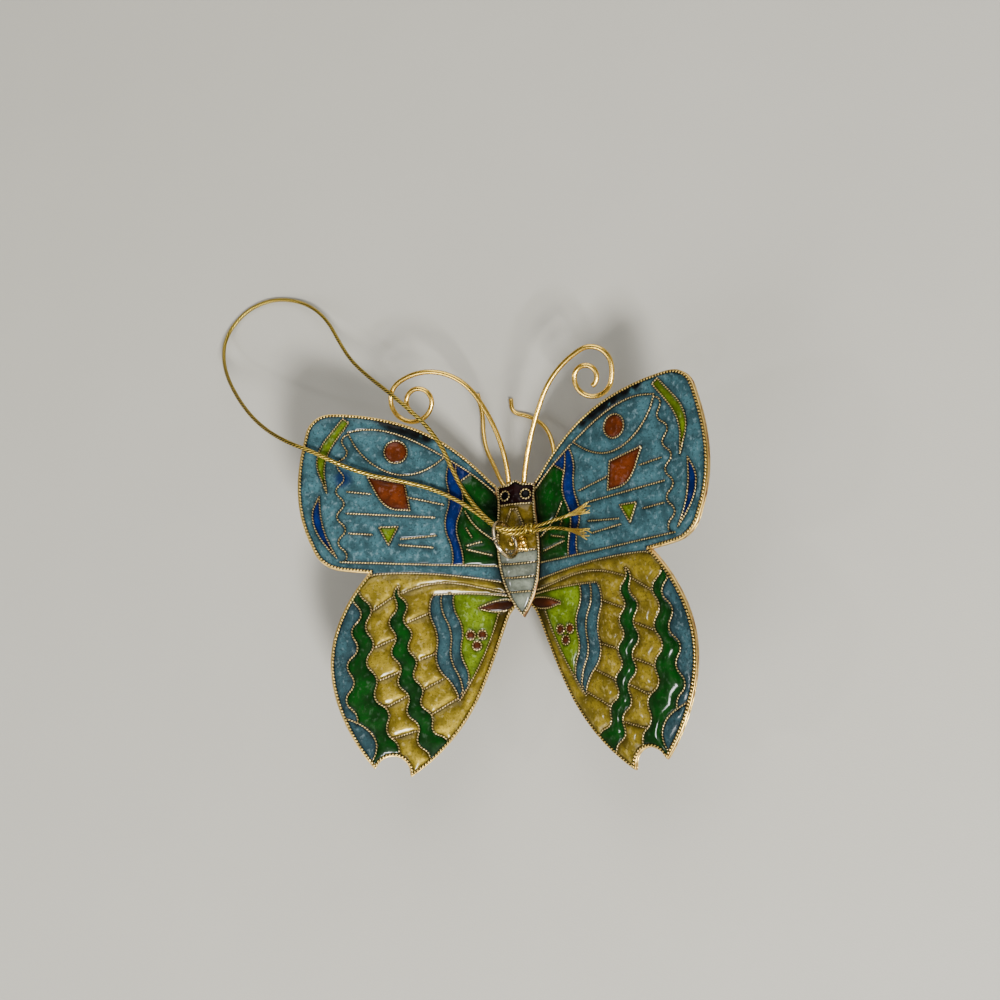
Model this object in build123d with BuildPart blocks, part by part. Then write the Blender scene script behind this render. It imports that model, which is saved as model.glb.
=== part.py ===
from build123d import *
import os
from math import cos, radians, sin, tan

# Butterfly ornament: enamel in wire cells on two copper wings, with a body, wire antennae and legs,
# and a hanging cord tied through a ring on the back.
# X runs to the butterfly's right, Y to its head and Z up. The feet stand on Z = 0 and the origin is
# below the middle of the fold between the wings.

# Wings
wing_reach = 43.8  # in the wing's plane, from the fold to the forewing's outer edge
wing_length = 71.4  # along the body, from the forewing's top edge to the hindwing's inner tail
wing_lift = 24.0  # degrees that each wing rises from the fold
fold_height = 8.0  # height of the plates' upper faces where they would meet
plate_thickness = 0.5
root_gap = 0.3  # from the fold to each plate's inner edge
enamel_depth = 0.5
back_enamel_depth = 0.35
rim_width = 0.6
rim_height = 0.68
back_rim_height = 0.45

# Cell wires
wire_width = 0.36
wire_height = 0.62
wire_joint_gap = 0.08  # left between the end of one wire and the side of the next
dot_sides = 12

# Body plaque
body_length = 27.4
body_half_width = 4.4
body_crown = 0.841 * body_half_width  # above the fold
body_arch_across = 1.93 * body_half_width
body_arch_along = 60.0
body_rim_width = 0.5
body_wire_proud = 0.14
body_enamel_depth = 0.5
body_wing_gap = 0.36  # from the body's side to the enamel on the wings
belly_width_share = 0.8  # of the body's
belly_length_share = 0.93
belly_drop = 1.9  # from the fold to the belly's lowest line
belly_arch_across = 1.6 * body_half_width
eye_radius = 1.0

# Antennae
antenna_wire = 1.0
antenna_tilt = 20.0  # degrees that the antennae rise towards the front
antenna_root_rise = 1.4  # above the fold
antenna_seat = 1.6  # length of wire that goes into the head

# Legs
leg_wire = 0.9
leg_bend = 1.3  # radius of a leg's bends, to the middle of the wire
leg_seat_share = 0.55  # depth of the legs' roots below the fold, as a share of the belly's drop
leg_first_drop = 0.4  # from a middle or hind leg's root to its first bend
leg_knee_height = 3.4  # of a middle or hind leg's second bend

# Hanger
ring_wire = 0.9
ring_radius = 3.55  # to the middle of the wire
ring_slit = 4.0  # degrees left open where the ring's ends meet
ring_lean = 17.0  # degrees that the ring leans to the left at rest
hanger_turn = 16.0  # degrees that the hanger is turned on the back
hanger_clearance = 0.3  # between the ring and its eye, and between the ring and the back
hanger_eye_wire = 0.8
hanger_eye_seat = 0.5  # from the crown down to the ends of the eye's feet, in the back's enamel

# Cord
cord_diameter = 0.9
tail_diameter = 0.7
cord_bend_share = 0.45  # of the shorter run beside a corner, taken up by the bend there
knot_diameter = 2.2
knot_length = 2.6
knot_shoulder_share = 0.3  # of the knot's length, from its middle to its shoulders
knot_shoulder_height = 0.8  # of the knot's radius

# Facets round a bent wire and round the cord
wire_sides = 8
cord_sides = 8

os.makedirs("parts", exist_ok=True)

# The pattern sheet: the points of the outline and of the wires, as drawn on a wing of this size
drawn_reach = 43.8
drawn_length = 71.4
drawn_body_half_width = 4.4
drawn_body_length = 27.4


def drawn(*points):
    """Places points of the pattern sheet on the wing, which may be larger or smaller."""
    wider = wing_reach / drawn_reach
    longer = wing_length / drawn_length
    return [(across * wider, along * longer) for across, along in points]


def on_body(*points):
    """Places points of the pattern sheet on the body, which may be larger or smaller."""
    wider = body_half_width / drawn_body_half_width
    longer = body_length / drawn_body_length
    return [(across * wider, along * longer) for across, along in points]


def sampled(curve, facets):
    """Points evenly along a curve, its ends included."""
    return [((curve @ (step / facets)).X, (curve @ (step / facets)).Y) for step in range(facets + 1)]


def bend(points, facets):
    """A smooth line through a few points of the pattern sheet, cut into straight facets."""
    return sampled(Spline(*drawn(*points)), facets)


def arc(points, facets):
    """A circular line through three points of the pattern sheet, cut into straight facets."""
    return sampled(ThreePointArc(*drawn(*points)), facets)


def wave(points, waves, depth):
    """A wavy wire along a guide line: two bends at each crest and two at each trough."""
    guide_points = drawn(*points)
    guide = Line(*guide_points) if len(guide_points) == 2 else Spline(*guide_points)
    line = [guide_points[0]]
    for step in range(4 * waves):
        share = (step + 0.5) / (4 * waves)
        place = guide @ share
        way = guide % share
        side = depth if step % 4 < 2 else -depth
        line.append((place.X - way.Y * side, place.Y + way.X * side))
    return line + [guide_points[-1]]


def round_cell(centre, radius):
    """The corners of a small round cell."""
    turns = [radians(360 * step / dot_sides) for step in range(dot_sides)]
    return [(centre[0] + radius * cos(turn), centre[1] + radius * sin(turn)) for turn in turns]


def shifted(points, amount, closed):
    """A line moved sideways by an amount, with its corners kept sharp."""
    moved = []
    last = len(points) - 1
    for index, (x, y) in enumerate(points):
        before = points[index - 1] if index > 0 or closed else None
        after = points[(index + 1) % len(points)] if index < last or closed else None
        ways = []
        if before:
            ways.append(Vector(x - before[0], y - before[1]).normalized())
        if after:
            ways.append(Vector(after[0] - x, after[1] - y).normalized())
        normals = [Vector(-way.Y, way.X) for way in ways]
        middle = (normals[0] + normals[-1]).normalized()
        reach = amount / max(middle.dot(normals[0]), 0.5)
        moved.append((x + middle.X * reach, y + middle.Y * reach))
    return moved


def ribbon(points, width):
    """The outline of a wire laid along an open line."""
    left = shifted(points, width / 2, closed=False)
    right = shifted(points, -width / 2, closed=False)
    return left + right[::-1]


def grown(outline, amount):
    """A closed outline moved outwards by an amount, or inwards by a negative one."""
    turned = sum(x * outline[i - 1][1] - y * outline[i - 1][0] for i, (x, y) in enumerate(outline))
    return shifted(outline, amount if turned > 0 else -amount, closed=True)


def cut_closed_wires(shapes):
    """Takes the room of closed wires out of the sketch and keeps what they enclose."""
    for shape in shapes:
        Polygon(*grown(shape, wire_width / 2), align=None, mode=Mode.SUBTRACT)
        Polygon(*grown(shape, -wire_width / 2), align=None)


def stretched(points, amount):
    """An open line made longer at both ends."""
    first_way = (Vector(*points[0]) - Vector(*points[1])).normalized() * amount
    last_way = (Vector(*points[-1]) - Vector(*points[-2])).normalized() * amount
    first = (points[0][0] + first_way.X, points[0][1] + first_way.Y)
    last = (points[-1][0] + last_way.X, points[-1][1] + last_way.Y)
    return [first] + points[1:-1] + [last]


def room_for(line, gap):
    """The outline of an open wire with a gap round it."""
    longer = stretched(line, wire_width / 2 + gap)
    return Polygon(*ribbon(longer, wire_width + 2 * gap), align=None, mode=Mode.PRIVATE)


def open_wires(lines, shapes, gap, laid_lines=()):
    """The outlines of open wires, each cut to stop a gap away from the wires laid before it."""
    laid = [room_for(line, gap) for line in laid_lines]
    for shape in shapes:
        laid.append(Polygon(*grown(shape, wire_width / 2 + gap), align=None, mode=Mode.PRIVATE))
    faces = []
    for line in lines:
        with BuildSketch() as fitting:
            Polygon(*ribbon(line, wire_width), align=None)
            add(laid, mode=Mode.SUBTRACT)
        faces.append(fitting.sketch.faces().sort_by(SortBy.AREA)[-1])
        laid.append(room_for(line, gap))
    return faces


def lay_closed_wires(shapes):
    """Draws wires that close on themselves."""
    for shape in shapes:
        Polygon(*grown(shape, wire_width / 2), align=None)
        Polygon(*grown(shape, -wire_width / 2), align=None, mode=Mode.SUBTRACT)


def keep(piece, name):
    """Labels a finished piece and writes it."""
    piece.part.label = name
    export_step(piece.part, f"parts/{name}.step")


def keep_both(piece, name):
    """Writes a piece of the right side, and its mirror image as the left side's."""
    with BuildPart() as twin:
        add(mirror(piece.part, about=Plane.YZ, mode=Mode.PRIVATE))
    keep(piece, f"right_{name}")
    keep(twin, f"left_{name}")


# Wing outline, round the right wing from the root of the leading edge
leading_edge = bend([(4.6, 11.2), (9.9, 16.8), (16.6, 21.8), (27.0, 25.7), (37.0, 26.9)], 9)
apex = arc([(37.0, 26.9), (40.7, 25.4), (42.2, 22.0)], 4)
outer_edge = bend([(42.2, 22.0), (43.6, 15.0), (43.6, 8.0), (41.3, 0.2)], 7)
lower_corner = arc([(41.3, 0.2), (39.3, -3.0), (35.5, -4.6)], 4)
hind_edge = bend(
    [(30.4, -5.2), (32.9, -8.2), (35.8, -13.0), (38.2, -21.0), (36.6, -32.0), (30.5, -42.6)],
    13,
)
tail_notch = arc([(30.5, -42.6), (26.6, -40.3), (23.7, -44.5)], 5)
inner_edge = bend([(23.7, -44.5), (18.5, -40.9), (12.2, -34.0), (6.1, -21.8), (2.9, -13.8)], 9)
root_edge = [(root_gap, -12.0), (root_gap, 9.5)]
wing_outline = (
    leading_edge
    + apex[1:]
    + outer_edge[1:]
    + lower_corner[1:]
    + hind_edge
    + tail_notch[1:]
    + inner_edge[1:]
    + root_edge
)

# Forewing wires
eye_outer = (33.8, 23.0)
eye_inner = (14.7, 17.5)
eye_upper = bend([eye_outer, (30.2, 23.6), (22.9, 22.0), eye_inner], 6)
eye_lower = bend([eye_inner, (18.8, 14.8), (23.0, 13.9), (28.6, 16.0), eye_outer], 8)
eye_shape = eye_upper[:-1] + eye_lower[:-1]
dot_centre = (24.4, 18.8)
dot_radius = 2.35
diamond = drawn((30.2, 13.9), (27.0, 7.3), (22.0, 6.9), (22.9, 12.3))
lime_drop = drawn((28.2, 3.7), (26.5, 0.1), (24.5, 3.7))
lime_bar = drawn((33.5, 25.0), (34.7, 25.8), (40.9, 18.2), (38.2, 10.9), (38.9, 17.6))
crescent = bend([(39.7, 10.2), (41.3, 6.0), (39.2, 1.0), (36.6, -2.0)], 4)
crescent += bend([(36.6, -2.0), (38.8, 2.6), (39.7, 10.2)], 3)[1:-1]
fore_shapes = [
    eye_shape,
    round_cell(*drawn(dot_centre), dot_radius),
    diamond,
    lime_drop,
    lime_bar,
    crescent,
]
hem = drawn((36.0, -2.9), (19.6, -4.0), (0.6, -5.1))
shoulder = drawn((14.2, 17.2), (9.4, 14.0), (0.6, 6.3))
band_inner = wave([(12.5, 16.1), (11.7, 10.0), (12.4, 4.0), (11.9, -4.5)], 2, 0.45)
band_outer = wave([(13.4, 16.7), (14.4, 11.0), (14.7, 4.0), (14.1, -4.3)], 2, 0.45)
vein_wave = wave([(33.8, 22.5), (35.4, 15.0), (35.6, 6.0), (35.4, -2.9)], 5, 0.75)
fore_lines = [
    hem,
    shoulder,
    band_inner,
    band_outer,
    vein_wave,
]
fore_veins = [
    drawn((9.0, 14.3), (12.6, 11.9)),
    drawn((34.3, 11.0), (29.4, 10.4)),
    drawn((22.2, 9.5), (15.2, 7.8)),
    drawn((34.6, 6.7), (17.1, 5.3)),
    drawn((34.2, 2.7), (29.5, 2.3)),
    drawn((24.1, 1.2), (16.9, 1.7)),
    drawn((24.5, 0.1), (17.7, -0.7)),
    drawn((11.1, 6.4), (9.3, 3.2), (5.4, 0.2)),
    drawn((11.0, 3.0), (9.9, 1.0)),
    drawn((11.2, -0.6), (8.0, 0.1)),
    drawn((11.1, -1.3), (5.9, -2.7)),
]

# Hindwing wires
brow = bend([(30.6, -5.6), (25.1, -5.5), (13.1, -6.5), (0.6, -9.0)], 6)
brow_lower = bend([(24.4, -9.5), (19.2, -7.9), (14.6, -7.7), (10.1, -8.6), (0.6, -10.4)], 6)
field_top = bend([(18.1, -10.0), (10.2, -10.1), (0.6, -11.3)], 4)
sky_edge = wave([(33.1, -8.3), (33.4, -17.0), (34.5, -24.0), (33.9, -34.4)], 4, 0.75)
green_one = wave([(32.3, -7.4), (30.7, -16.0), (30.5, -25.0), (28.2, -32.5), (26.4, -40.6)], 5, 0.7)
green_two = wave([(24.5, -7.9), (26.3, -16.0), (25.3, -25.0), (22.9, -34.0), (20.2, -42.2)], 6, 0.6)
green_three = wave([(24.5, -7.9), (23.2, -17.0), (21.9, -26.0), (19.6, -34.0), (16.3, -39.2)], 6, 0.55)
sky_left = wave([(18.0, -10.0), (18.2, -19.0), (14.0, -30.9)], 2, 0.6)
sky_middle = wave([(16.4, -10.0), (15.2, -19.0), (13.3, -29.9)], 2, 0.45)
sky_right = wave([(14.0, -10.1), (12.9, -19.0), (12.1, -28.4)], 2, 0.45)
field_edge = bend([(5.2, -13.7), (8.4, -21.8), (14.0, -30.9)], 5)
leaf_upper = bend([(9.4, -13.0), (6.6, -11.9), (2.0, -11.6)], 3) + drawn((0.6, -11.6))
leaf_lower = bend([(9.4, -13.0), (6.4, -13.9), (2.4, -13.3)], 3)
tail_lens = bend([(36.6, -32.6), (34.4, -33.4), (30.4, -36.6), (31.2, -41.4)], 7)
hind_lines = [
    brow,
    brow_lower,
    field_top,
    leaf_upper,
    leaf_lower,
    field_edge,
    tail_lens,
    sky_edge,
    green_one,
    green_two,
    green_three,
    sky_left,
    sky_middle,
    sky_right,
]
hind_bars = [
    drawn((31.2, -13.4), (25.2, -9.6)),
    drawn((31.6, -20.5), (25.4, -18.0)),
    drawn((31.4, -26.8), (24.4, -24.4)),
    drawn((29.6, -32.0), (23.4, -29.0)),
    drawn((27.8, -37.3), (21.4, -35.7)),
    drawn((24.4, -15.6), (17.2, -12.8)),
    drawn((23.6, -23.2), (16.6, -21.0)),
    drawn((22.4, -29.0), (15.0, -25.5)),
    drawn((20.8, -33.8), (13.6, -29.9)),
]
berry_radius = 0.9
berry_centres = [(11.1, -18.2), (8.8, -18.2), (9.95, -20.3)]
hind_shapes = [round_cell(centre, berry_radius) for centre in drawn(*berry_centres)]

# One point inside each cell, by the colour that fills it
fore_cells = {
    "sky": [(42.0, 3.0), (20.0, -5.0), (30.0, 21.0), (20.0, 11.5), (16.0, 20.5)],
    "green": [(8.0, 9.0)],
    "cobalt": [(13.2, 8.0), (39.6, 5.0), (11.3, 14.2)],
    "orange": [dot_centre, (25.5, 10.0)],
    "lime": [(26.4, 2.6), (39.4, 17.8)],
}
hind_cells = {
    "sky": [(36.3, -22.0), (32.8, -36.0), (16.8, -19.0), (14.1, -19.0)],
    "green": [(32.3, -22.0), (24.4, -21.0)],
    "gold": [
        (28.0, -7.5),
        (28.0, -15.5),
        (28.0, -22.5),
        (27.0, -28.5),
        (25.0, -33.5),
        (24.2, -39.5),
        (14.0, -7.0),
        (20.5, -11.5),
        (20.5, -18.0),
        (19.5, -25.0),
        (18.3, -29.5),
        (16.0, -34.0),
        (12.0, -9.2),
    ],
    "lime": [(8.5, -16.0)],
    "red": berry_centres + [(6.5, -12.9)],
}

lift = radians(wing_lift)
wing_plane = Plane(
    origin=(0, 0, fold_height),
    x_dir=(cos(lift), 0, sin(lift)),
    z_dir=(-sin(lift), 0, cos(lift)),
)

# Body outline, right half from the head's point to the tail
half_outline = on_body((0.0, 12.2), (1.6, 11.3), (3.55, 11.3))
body_side = on_body((4.05, 10.7), (3.83, 6.7), (4.4, -1.7), (3.26, -9.1), (0.0, -15.2))
half_outline += sampled(Spline(*body_side), 12)
body_outline = half_outline + [(-x, y) for x, y in half_outline[-2:0:-1]]


def footprint(outline, gap):
    """The body's outline as it falls on the lifted wing, with a gap round it."""
    return [(x / cos(lift), y) for x, y in grown(outline, gap)]


body_on_wing = footprint(body_outline, body_wing_gap)
belly_outline = [(x * belly_width_share, y * belly_length_share) for x, y in body_outline]
belly_on_wing = footprint(belly_outline, body_wing_gap)

# Wing plate, with its rim wires and the enamel on its back
with BuildPart() as wing_plate:
    with BuildSketch(wing_plane):
        Polygon(*wing_outline, align=None)
    extrude(amount=-plate_thickness)
keep_both(wing_plate, "wing_plate")

with BuildPart() as front_rim_wire:
    with BuildSketch(wing_plane):
        Polygon(*wing_outline, align=None)
        Polygon(*grown(wing_outline, -rim_width), align=None, mode=Mode.SUBTRACT)
        Polygon(*body_on_wing, align=None, mode=Mode.SUBTRACT)
    extrude(amount=rim_height)
keep_both(front_rim_wire, "front_rim_wire")

back_plane = wing_plane.offset(-plate_thickness)
with BuildPart() as back_rim_wire:
    with BuildSketch(back_plane):
        Polygon(*wing_outline, align=None)
        Polygon(*grown(wing_outline, -rim_width), align=None, mode=Mode.SUBTRACT)
        Polygon(*belly_on_wing, align=None, mode=Mode.SUBTRACT)
    extrude(amount=-back_rim_height)
keep_both(back_rim_wire, "back_rim_wire")

with BuildPart() as back_enamel:
    with BuildSketch(back_plane):
        Polygon(*grown(wing_outline, -rim_width), align=None)
        Polygon(*belly_on_wing, align=None, mode=Mode.SUBTRACT)
    extrude(amount=-back_enamel_depth)
keep_both(back_enamel, "back_enamel")

# Cell wires of the wing, each a strip of its own
wire_room = grown(wing_outline, -rim_width - wire_joint_gap)
for name, lines, shapes in (
    ("forewing", fore_lines + fore_veins, fore_shapes),
    ("hindwing", hind_lines + hind_bars, hind_shapes),
):
    with BuildPart() as cell_wires:
        with BuildSketch(wing_plane):
            add(open_wires(lines, shapes, wire_joint_gap))
            Polygon(*wire_room, align=None, mode=Mode.INTERSECT)
            Polygon(*body_on_wing, align=None, mode=Mode.SUBTRACT)
            lay_closed_wires(shapes)
        extrude(amount=wire_height)
    keep_both(cell_wires, f"{name}_wires")
    print(name, "wires", len(cell_wires.solids()), "of", len(lines) + len(shapes))

# Enamel of the wing, a cell between each set of wires
with BuildSketch(wing_plane) as cell_sketch:
    Polygon(*grown(wing_outline, -rim_width), align=None)
    cut_closed_wires(fore_shapes + hind_shapes)
    for line in fore_lines + hind_lines:
        Polygon(*ribbon(line, wire_width), align=None, mode=Mode.SUBTRACT)
    add(open_wires(fore_veins, fore_shapes, 0.0, fore_lines), mode=Mode.SUBTRACT)
    add(open_wires(hind_bars, hind_shapes, 0.0, hind_lines), mode=Mode.SUBTRACT)
    Polygon(*body_on_wing, align=None, mode=Mode.SUBTRACT)
cells = cell_sketch.sketch.faces()
print("wing cells", len(cells))

for wing, colours in (("forewing", fore_cells), ("hindwing", hind_cells)):
    for colour, places in colours.items():
        with BuildPart() as enamel:
            for place in drawn(*places):
                cell = cells.sort_by_distance(wing_plane.from_local_coords(place))[0]
                extrude(cell, amount=enamel_depth, dir=wing_plane.z_dir)
        keep_both(enamel, f"{wing}_{colour}_enamel")

# Body: a copper plaque that lies in the fold, with a rim wire, cell wires and enamel on its arched top
crown_height = fold_height + body_crown
before_head = Plane.XZ.offset(-body_length)
body_inner = grown(body_outline, -body_rim_width)


def valley(bottom):
    """Draws the room between the two wings, seen along the body, from a height in the fold upwards."""
    wide = 2 * body_half_width
    top = bottom + wide
    shoulder_height = bottom + wide * tan(lift)
    Polygon(
        (0, bottom),
        (wide, shoulder_height),
        (wide, top),
        (-wide, top),
        (-wide, shoulder_height),
        align=None,
    )


def arched_section(low, high):
    """Draws the section of a layer of the body's top, between two depths below or above its crown."""
    with Locations((0, crown_height - body_arch_across)):
        Circle(body_arch_across + high)
        if low is not None:
            Circle(body_arch_across + low, mode=Mode.SUBTRACT)
    with Locations((0, crown_height)):
        Rectangle(4 * body_half_width, 2 * body_crown, mode=Mode.INTERSECT)


def arched_piece(faces, low, high):
    """A piece of the body's top, with its outline seen from above and its depth."""
    with BuildPart() as layer:
        with BuildSketch(Plane.XZ):
            arched_section(low, high)
        revolve(axis=Axis((0, 0, crown_height - body_arch_along), (1, 0, 0)))
    with BuildPart() as piece:
        with BuildSketch(before_head):
            valley(fold_height)
        extrude(amount=2 * body_length)
        with BuildSketch(Plane.XY.offset(fold_height - belly_drop)):
            add(faces)
        extrude(amount=belly_drop + 2 * body_crown, mode=Mode.INTERSECT)
        add(layer.part, mode=Mode.INTERSECT)
    return piece


with BuildSketch() as body_face:
    Polygon(*body_outline, align=None)
keep(arched_piece(body_face.sketch.faces(), None, -body_enamel_depth), "body_shell")

with BuildSketch() as body_rim_face:
    Polygon(*body_outline, align=None)
    Polygon(*body_inner, align=None, mode=Mode.SUBTRACT)
keep(arched_piece(body_rim_face.sketch.faces(), -body_enamel_depth, body_wire_proud), "body_rim_wire")

band_places = (-1.7, -4.1, -6.8, -9.6)  # along the pattern sheet: the waist, then the abdomen

# Body wires: the neck, the waist, a peak on the thorax and three bands on the abdomen, and the eyes' rings
neck = on_body((-8.8, 7.1), (8.8, 7.1))
peak = on_body((-1.9, 3.4), (-0.9, 6.1), (0.3, 6.1), (1.6, 2.7))
body_lines = [neck, peak]
for along in band_places:
    body_lines.append(on_body((-8.8, along), (-1.5, along - 0.7), (1.5, along - 0.7), (8.8, along)))
left_eye, right_eye = on_body((-2.15, 9.0), (2.15, 9.0))
eyes = [round_cell(left_eye, eye_radius), round_cell(right_eye, eye_radius)]

with BuildSketch() as body_wire_faces:
    add(open_wires(body_lines, eyes, wire_joint_gap))
    Polygon(*grown(body_inner, -wire_joint_gap), align=None, mode=Mode.INTERSECT)
    lay_closed_wires(eyes)
keep(arched_piece(body_wire_faces.sketch.faces(), -body_enamel_depth, body_wire_proud), "body_wires")

with BuildSketch() as body_cells:
    Polygon(*body_inner, align=None)
    cut_closed_wires(eyes)
    add(open_wires(body_lines, eyes, 0.0), mode=Mode.SUBTRACT)
body_colours = {
    "head_enamel": on_body((0.0, 9.0)),
    "eye_enamel": [left_eye, right_eye],
    "thorax_enamel": on_body((0.0, 0.5)),
    "abdomen_enamel": on_body((0.0, -3.5), (0.0, -6.2), (0.0, -8.9), (0.0, -12.0)),
}
for name, places in body_colours.items():
    faces = [body_cells.sketch.faces().sort_by_distance((x, y, 0))[0] for x, y in places]
    keep(arched_piece(faces, -body_enamel_depth, 0.0), name)

# Belly: the lower half of the body, soldered under the fold
with BuildPart() as belly_shell:
    with BuildSketch(Plane.XY):
        Polygon(*belly_outline, align=None)
    extrude(amount=fold_height + body_half_width)
    with BuildSketch(before_head):
        with Locations((0, fold_height - belly_drop + belly_arch_across)):
            Circle(belly_arch_across)
    extrude(amount=2 * body_length, mode=Mode.INTERSECT)
    with BuildSketch(before_head):
        valley(fold_height - plate_thickness / cos(lift))
    extrude(amount=2 * body_length, mode=Mode.SUBTRACT)
keep(belly_shell, "belly_shell")


def bent_wire(path, diameter, sides):
    """A wire of a faceted round section along a path."""
    with BuildPart() as wire:
        with BuildSketch(Plane(origin=path @ 0, z_dir=path % 0)):
            RegularPolygon(radius=diameter / 2, side_count=sides)
        sweep(path=path)
    return wire


# Antennae: each is drawn in a plane that rises towards the front, as tangent arcs that end in a curl.
# Each has its root, its heading there, and the radius and turn in degrees of each arc.
antenna_root_along = on_body((0.0, 11.5))[0][1]
antenna_plane = Plane(
    origin=(0, antenna_root_along, fold_height + antenna_root_rise),
    x_dir=(1, 0, 0),
    z_dir=(0, -sin(radians(antenna_tilt)), cos(radians(antenna_tilt))),
)
antennae = {
    "left_antenna": (
        (-1.5, 0.7),
        86.6,
        [(32.4, 33), (11.7, 88), (4.4, 223), (2.7, 250)],
    ),
    "right_antenna": (
        (1.8, 0.9),
        76.3,
        [(64.7, -15), (18.6, -37), (4.0, -111), (8.4, -25), (3.6, -175), (2.2, -225)],
    ),
}
for name, (root, heading, arcs) in antennae.items():
    with BuildLine() as antenna_path:
        way = radians(heading)
        x, y = root
        seat = (x - antenna_seat * cos(way), y - antenna_seat * sin(way))
        Line(antenna_plane.from_local_coords(seat), antenna_plane.from_local_coords(root))
        for radius, sweep_angle in arcs:
            turn = radians(sweep_angle)
            side = 1 if turn > 0 else -1
            centre_x = x - side * radius * sin(way)
            centre_y = y + side * radius * cos(way)
            points = []
            for heading_there in (way, way + turn / 2, way + turn):
                x = centre_x + side * radius * sin(heading_there)
                y = centre_y - side * radius * cos(heading_there)
                points.append(antenna_plane.from_local_coords((x, y)))
            ThreePointArc(*points)
            way += turn
    keep(bent_wire(antenna_path.line, antenna_wire, wire_sides), name)

# Legs: bent wires from the belly to the surface below, ending in a short toe
foot = leg_wire / 2
seat_height = fold_height - leg_seat_share * belly_drop
front_seat, middle_seat, hind_seat = on_body((1.4, 9.3), (1.2, -2.0), (1.0, -7.5))
middle_steps = [(0, 0), (3.8, 0.4), (6.8, 1.2), (8.1, 1.7), (10.4, 2.6)]  # from the seat outwards
hind_steps = [(0, 0), (3.2, -1.3), (5.8, -3.1), (6.9, -4.0), (8.6, -5.9)]
middle_leg = [(middle_seat[0] + x, middle_seat[1] + y) for x, y in middle_steps]
hind_leg = [(hind_seat[0] + x, hind_seat[1] + y) for x, y in hind_steps]
leg_heights = [seat_height, seat_height - leg_first_drop, leg_knee_height, foot, foot]
legs = {
    "left_front_leg": [
        (-front_seat[0], front_seat[1], seat_height),
        (-4.0, 12.7, 6.5),
        (-5.7, 16.2, 4.5),
        (-8.1, 20.7, 2.3),
        (-9.0, 25.0, 0.9),
        (-9.0, 28.8, foot),
        (-9.9, 33.5, foot),
    ],
    "right_front_leg": [
        (*front_seat, seat_height),
        (7.2, 13.0, 6.1),
        (7.1, 19.2, 4.4),
        (5.2, 24.2, 2.4),
        (1.4, 27.2, 0.8),
        (-2.5, 28.4, foot),
        (-2.6, 31.5, foot),
    ],
}
for side, sign in (("left", -1), ("right", 1)):
    for name, places in (("middle_leg", middle_leg), ("hind_leg", hind_leg)):
        legs[f"{side}_{name}"] = [(sign * x, y, z) for (x, y), z in zip(places, leg_heights)]
for name, points in legs.items():
    keep(bent_wire(FilletPolyline(*points, radius=leg_bend), leg_wire, wire_sides), name)

# Hanger: an eye on the back, and a ring that swings in it
hinge_height = crown_height + body_wire_proud + hanger_clearance + ring_wire / 2
hinge_along = on_body((0.0, -0.2))[0][1]
hinge_point = Vector(0, hinge_along, hinge_height)
turn = radians(hanger_turn)
hinge_way = Vector(-sin(turn), cos(turn), 0)
hinge_left = Vector(-cos(turn), -sin(turn), 0)
eye_half = ring_wire / 2 + hanger_clearance + hanger_eye_wire / 2
eye_foot = Vector(0, 0, hinge_height - crown_height + hanger_eye_seat)
with BuildLine() as eye_path:
    Line(hinge_point + hinge_left * eye_half - eye_foot, hinge_point + hinge_left * eye_half)
    ThreePointArc(
        hinge_point + hinge_left * eye_half,
        hinge_point + Vector(0, 0, eye_half),
        hinge_point - hinge_left * eye_half,
    )
    Line(hinge_point - hinge_left * eye_half, hinge_point - hinge_left * eye_half - eye_foot)
keep(bent_wire(eye_path.line, hanger_eye_wire, wire_sides), "hanger_eye")

lean = radians(ring_lean)
ring_up = hinge_left * sin(lean) + Vector(0, 0, cos(lean))
ring_centre = hinge_point + ring_up * ring_radius
ring_axis = hinge_way.cross(ring_up)
with BuildPart() as hanger_ring:
    with BuildSketch(Plane(origin=ring_centre + ring_up * ring_radius, x_dir=ring_up, z_dir=hinge_way)):
        RegularPolygon(radius=ring_wire / 2, side_count=wire_sides)
    revolve(axis=Axis(ring_centre, ring_axis), revolution_arc=360 - ring_slit)
keep(hanger_ring, "hanger_ring")

# Hanging cord: a loop from the knot through the ring, over the left wing to the surface and back
knot_centre = Vector(3.1, 1.7, 12.4)
cord_route = [
    (2.6, 2.0, 12.7),
    (1.0, 1.7, 14.6),
    (-1.4, 1.4, 15.5),
    (-3.6, 2.9, 15.7),
    (-6.6, 6.1, 15.6),
    (-9.3, 10.2, 15.6),
    (-11.0, 14.4, 16.6),
    (-12.6, 19.2, 17.8),
    (-15.5, 23.7, 18.7),
    (-19.2, 27.5, 19.1),
    (-23.7, 31.7, 17.8),
    (-29.4, 36.5, 13.9),
    (-35.1, 41.9, 9.6),
    (-39.2, 47.6, 6.4),
    (-42.8, 53.4, 3.6),
    (-47.3, 58.2, 1.6),
    (-52.8, 61.3, 0.6),
    (-58.7, 62.3, 0.5),
    (-64.2, 61.0, 0.5),
    (-68.3, 57.9, 0.6),
    (-70.3, 53.8, 1.4),
    (-69.5, 49.0, 3.6),
    (-66.2, 43.0, 7.6),
    (-60.5, 36.0, 12.8),
    (-54.2, 29.8, 18.0),
    (-47.4, 24.7, 23.0),
    (-41.0, 21.0, 26.4),
    (-35.9, 18.7, 27.0),
    (-31.7, 16.2, 24.9),
    (-26.7, 14.0, 21.9),
    (-21.1, 12.7, 19.1),
    (-15.6, 11.0, 16.9),
    (-10.3, 8.2, 15.3),
    (-6.3, 5.0, 14.6),
    (-3.4, 2.4, 14.7),
    (-0.9, 0.75, 14.75),
    (1.1, 0.8, 14.1),
    (2.5, 1.3, 12.8),
]


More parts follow.
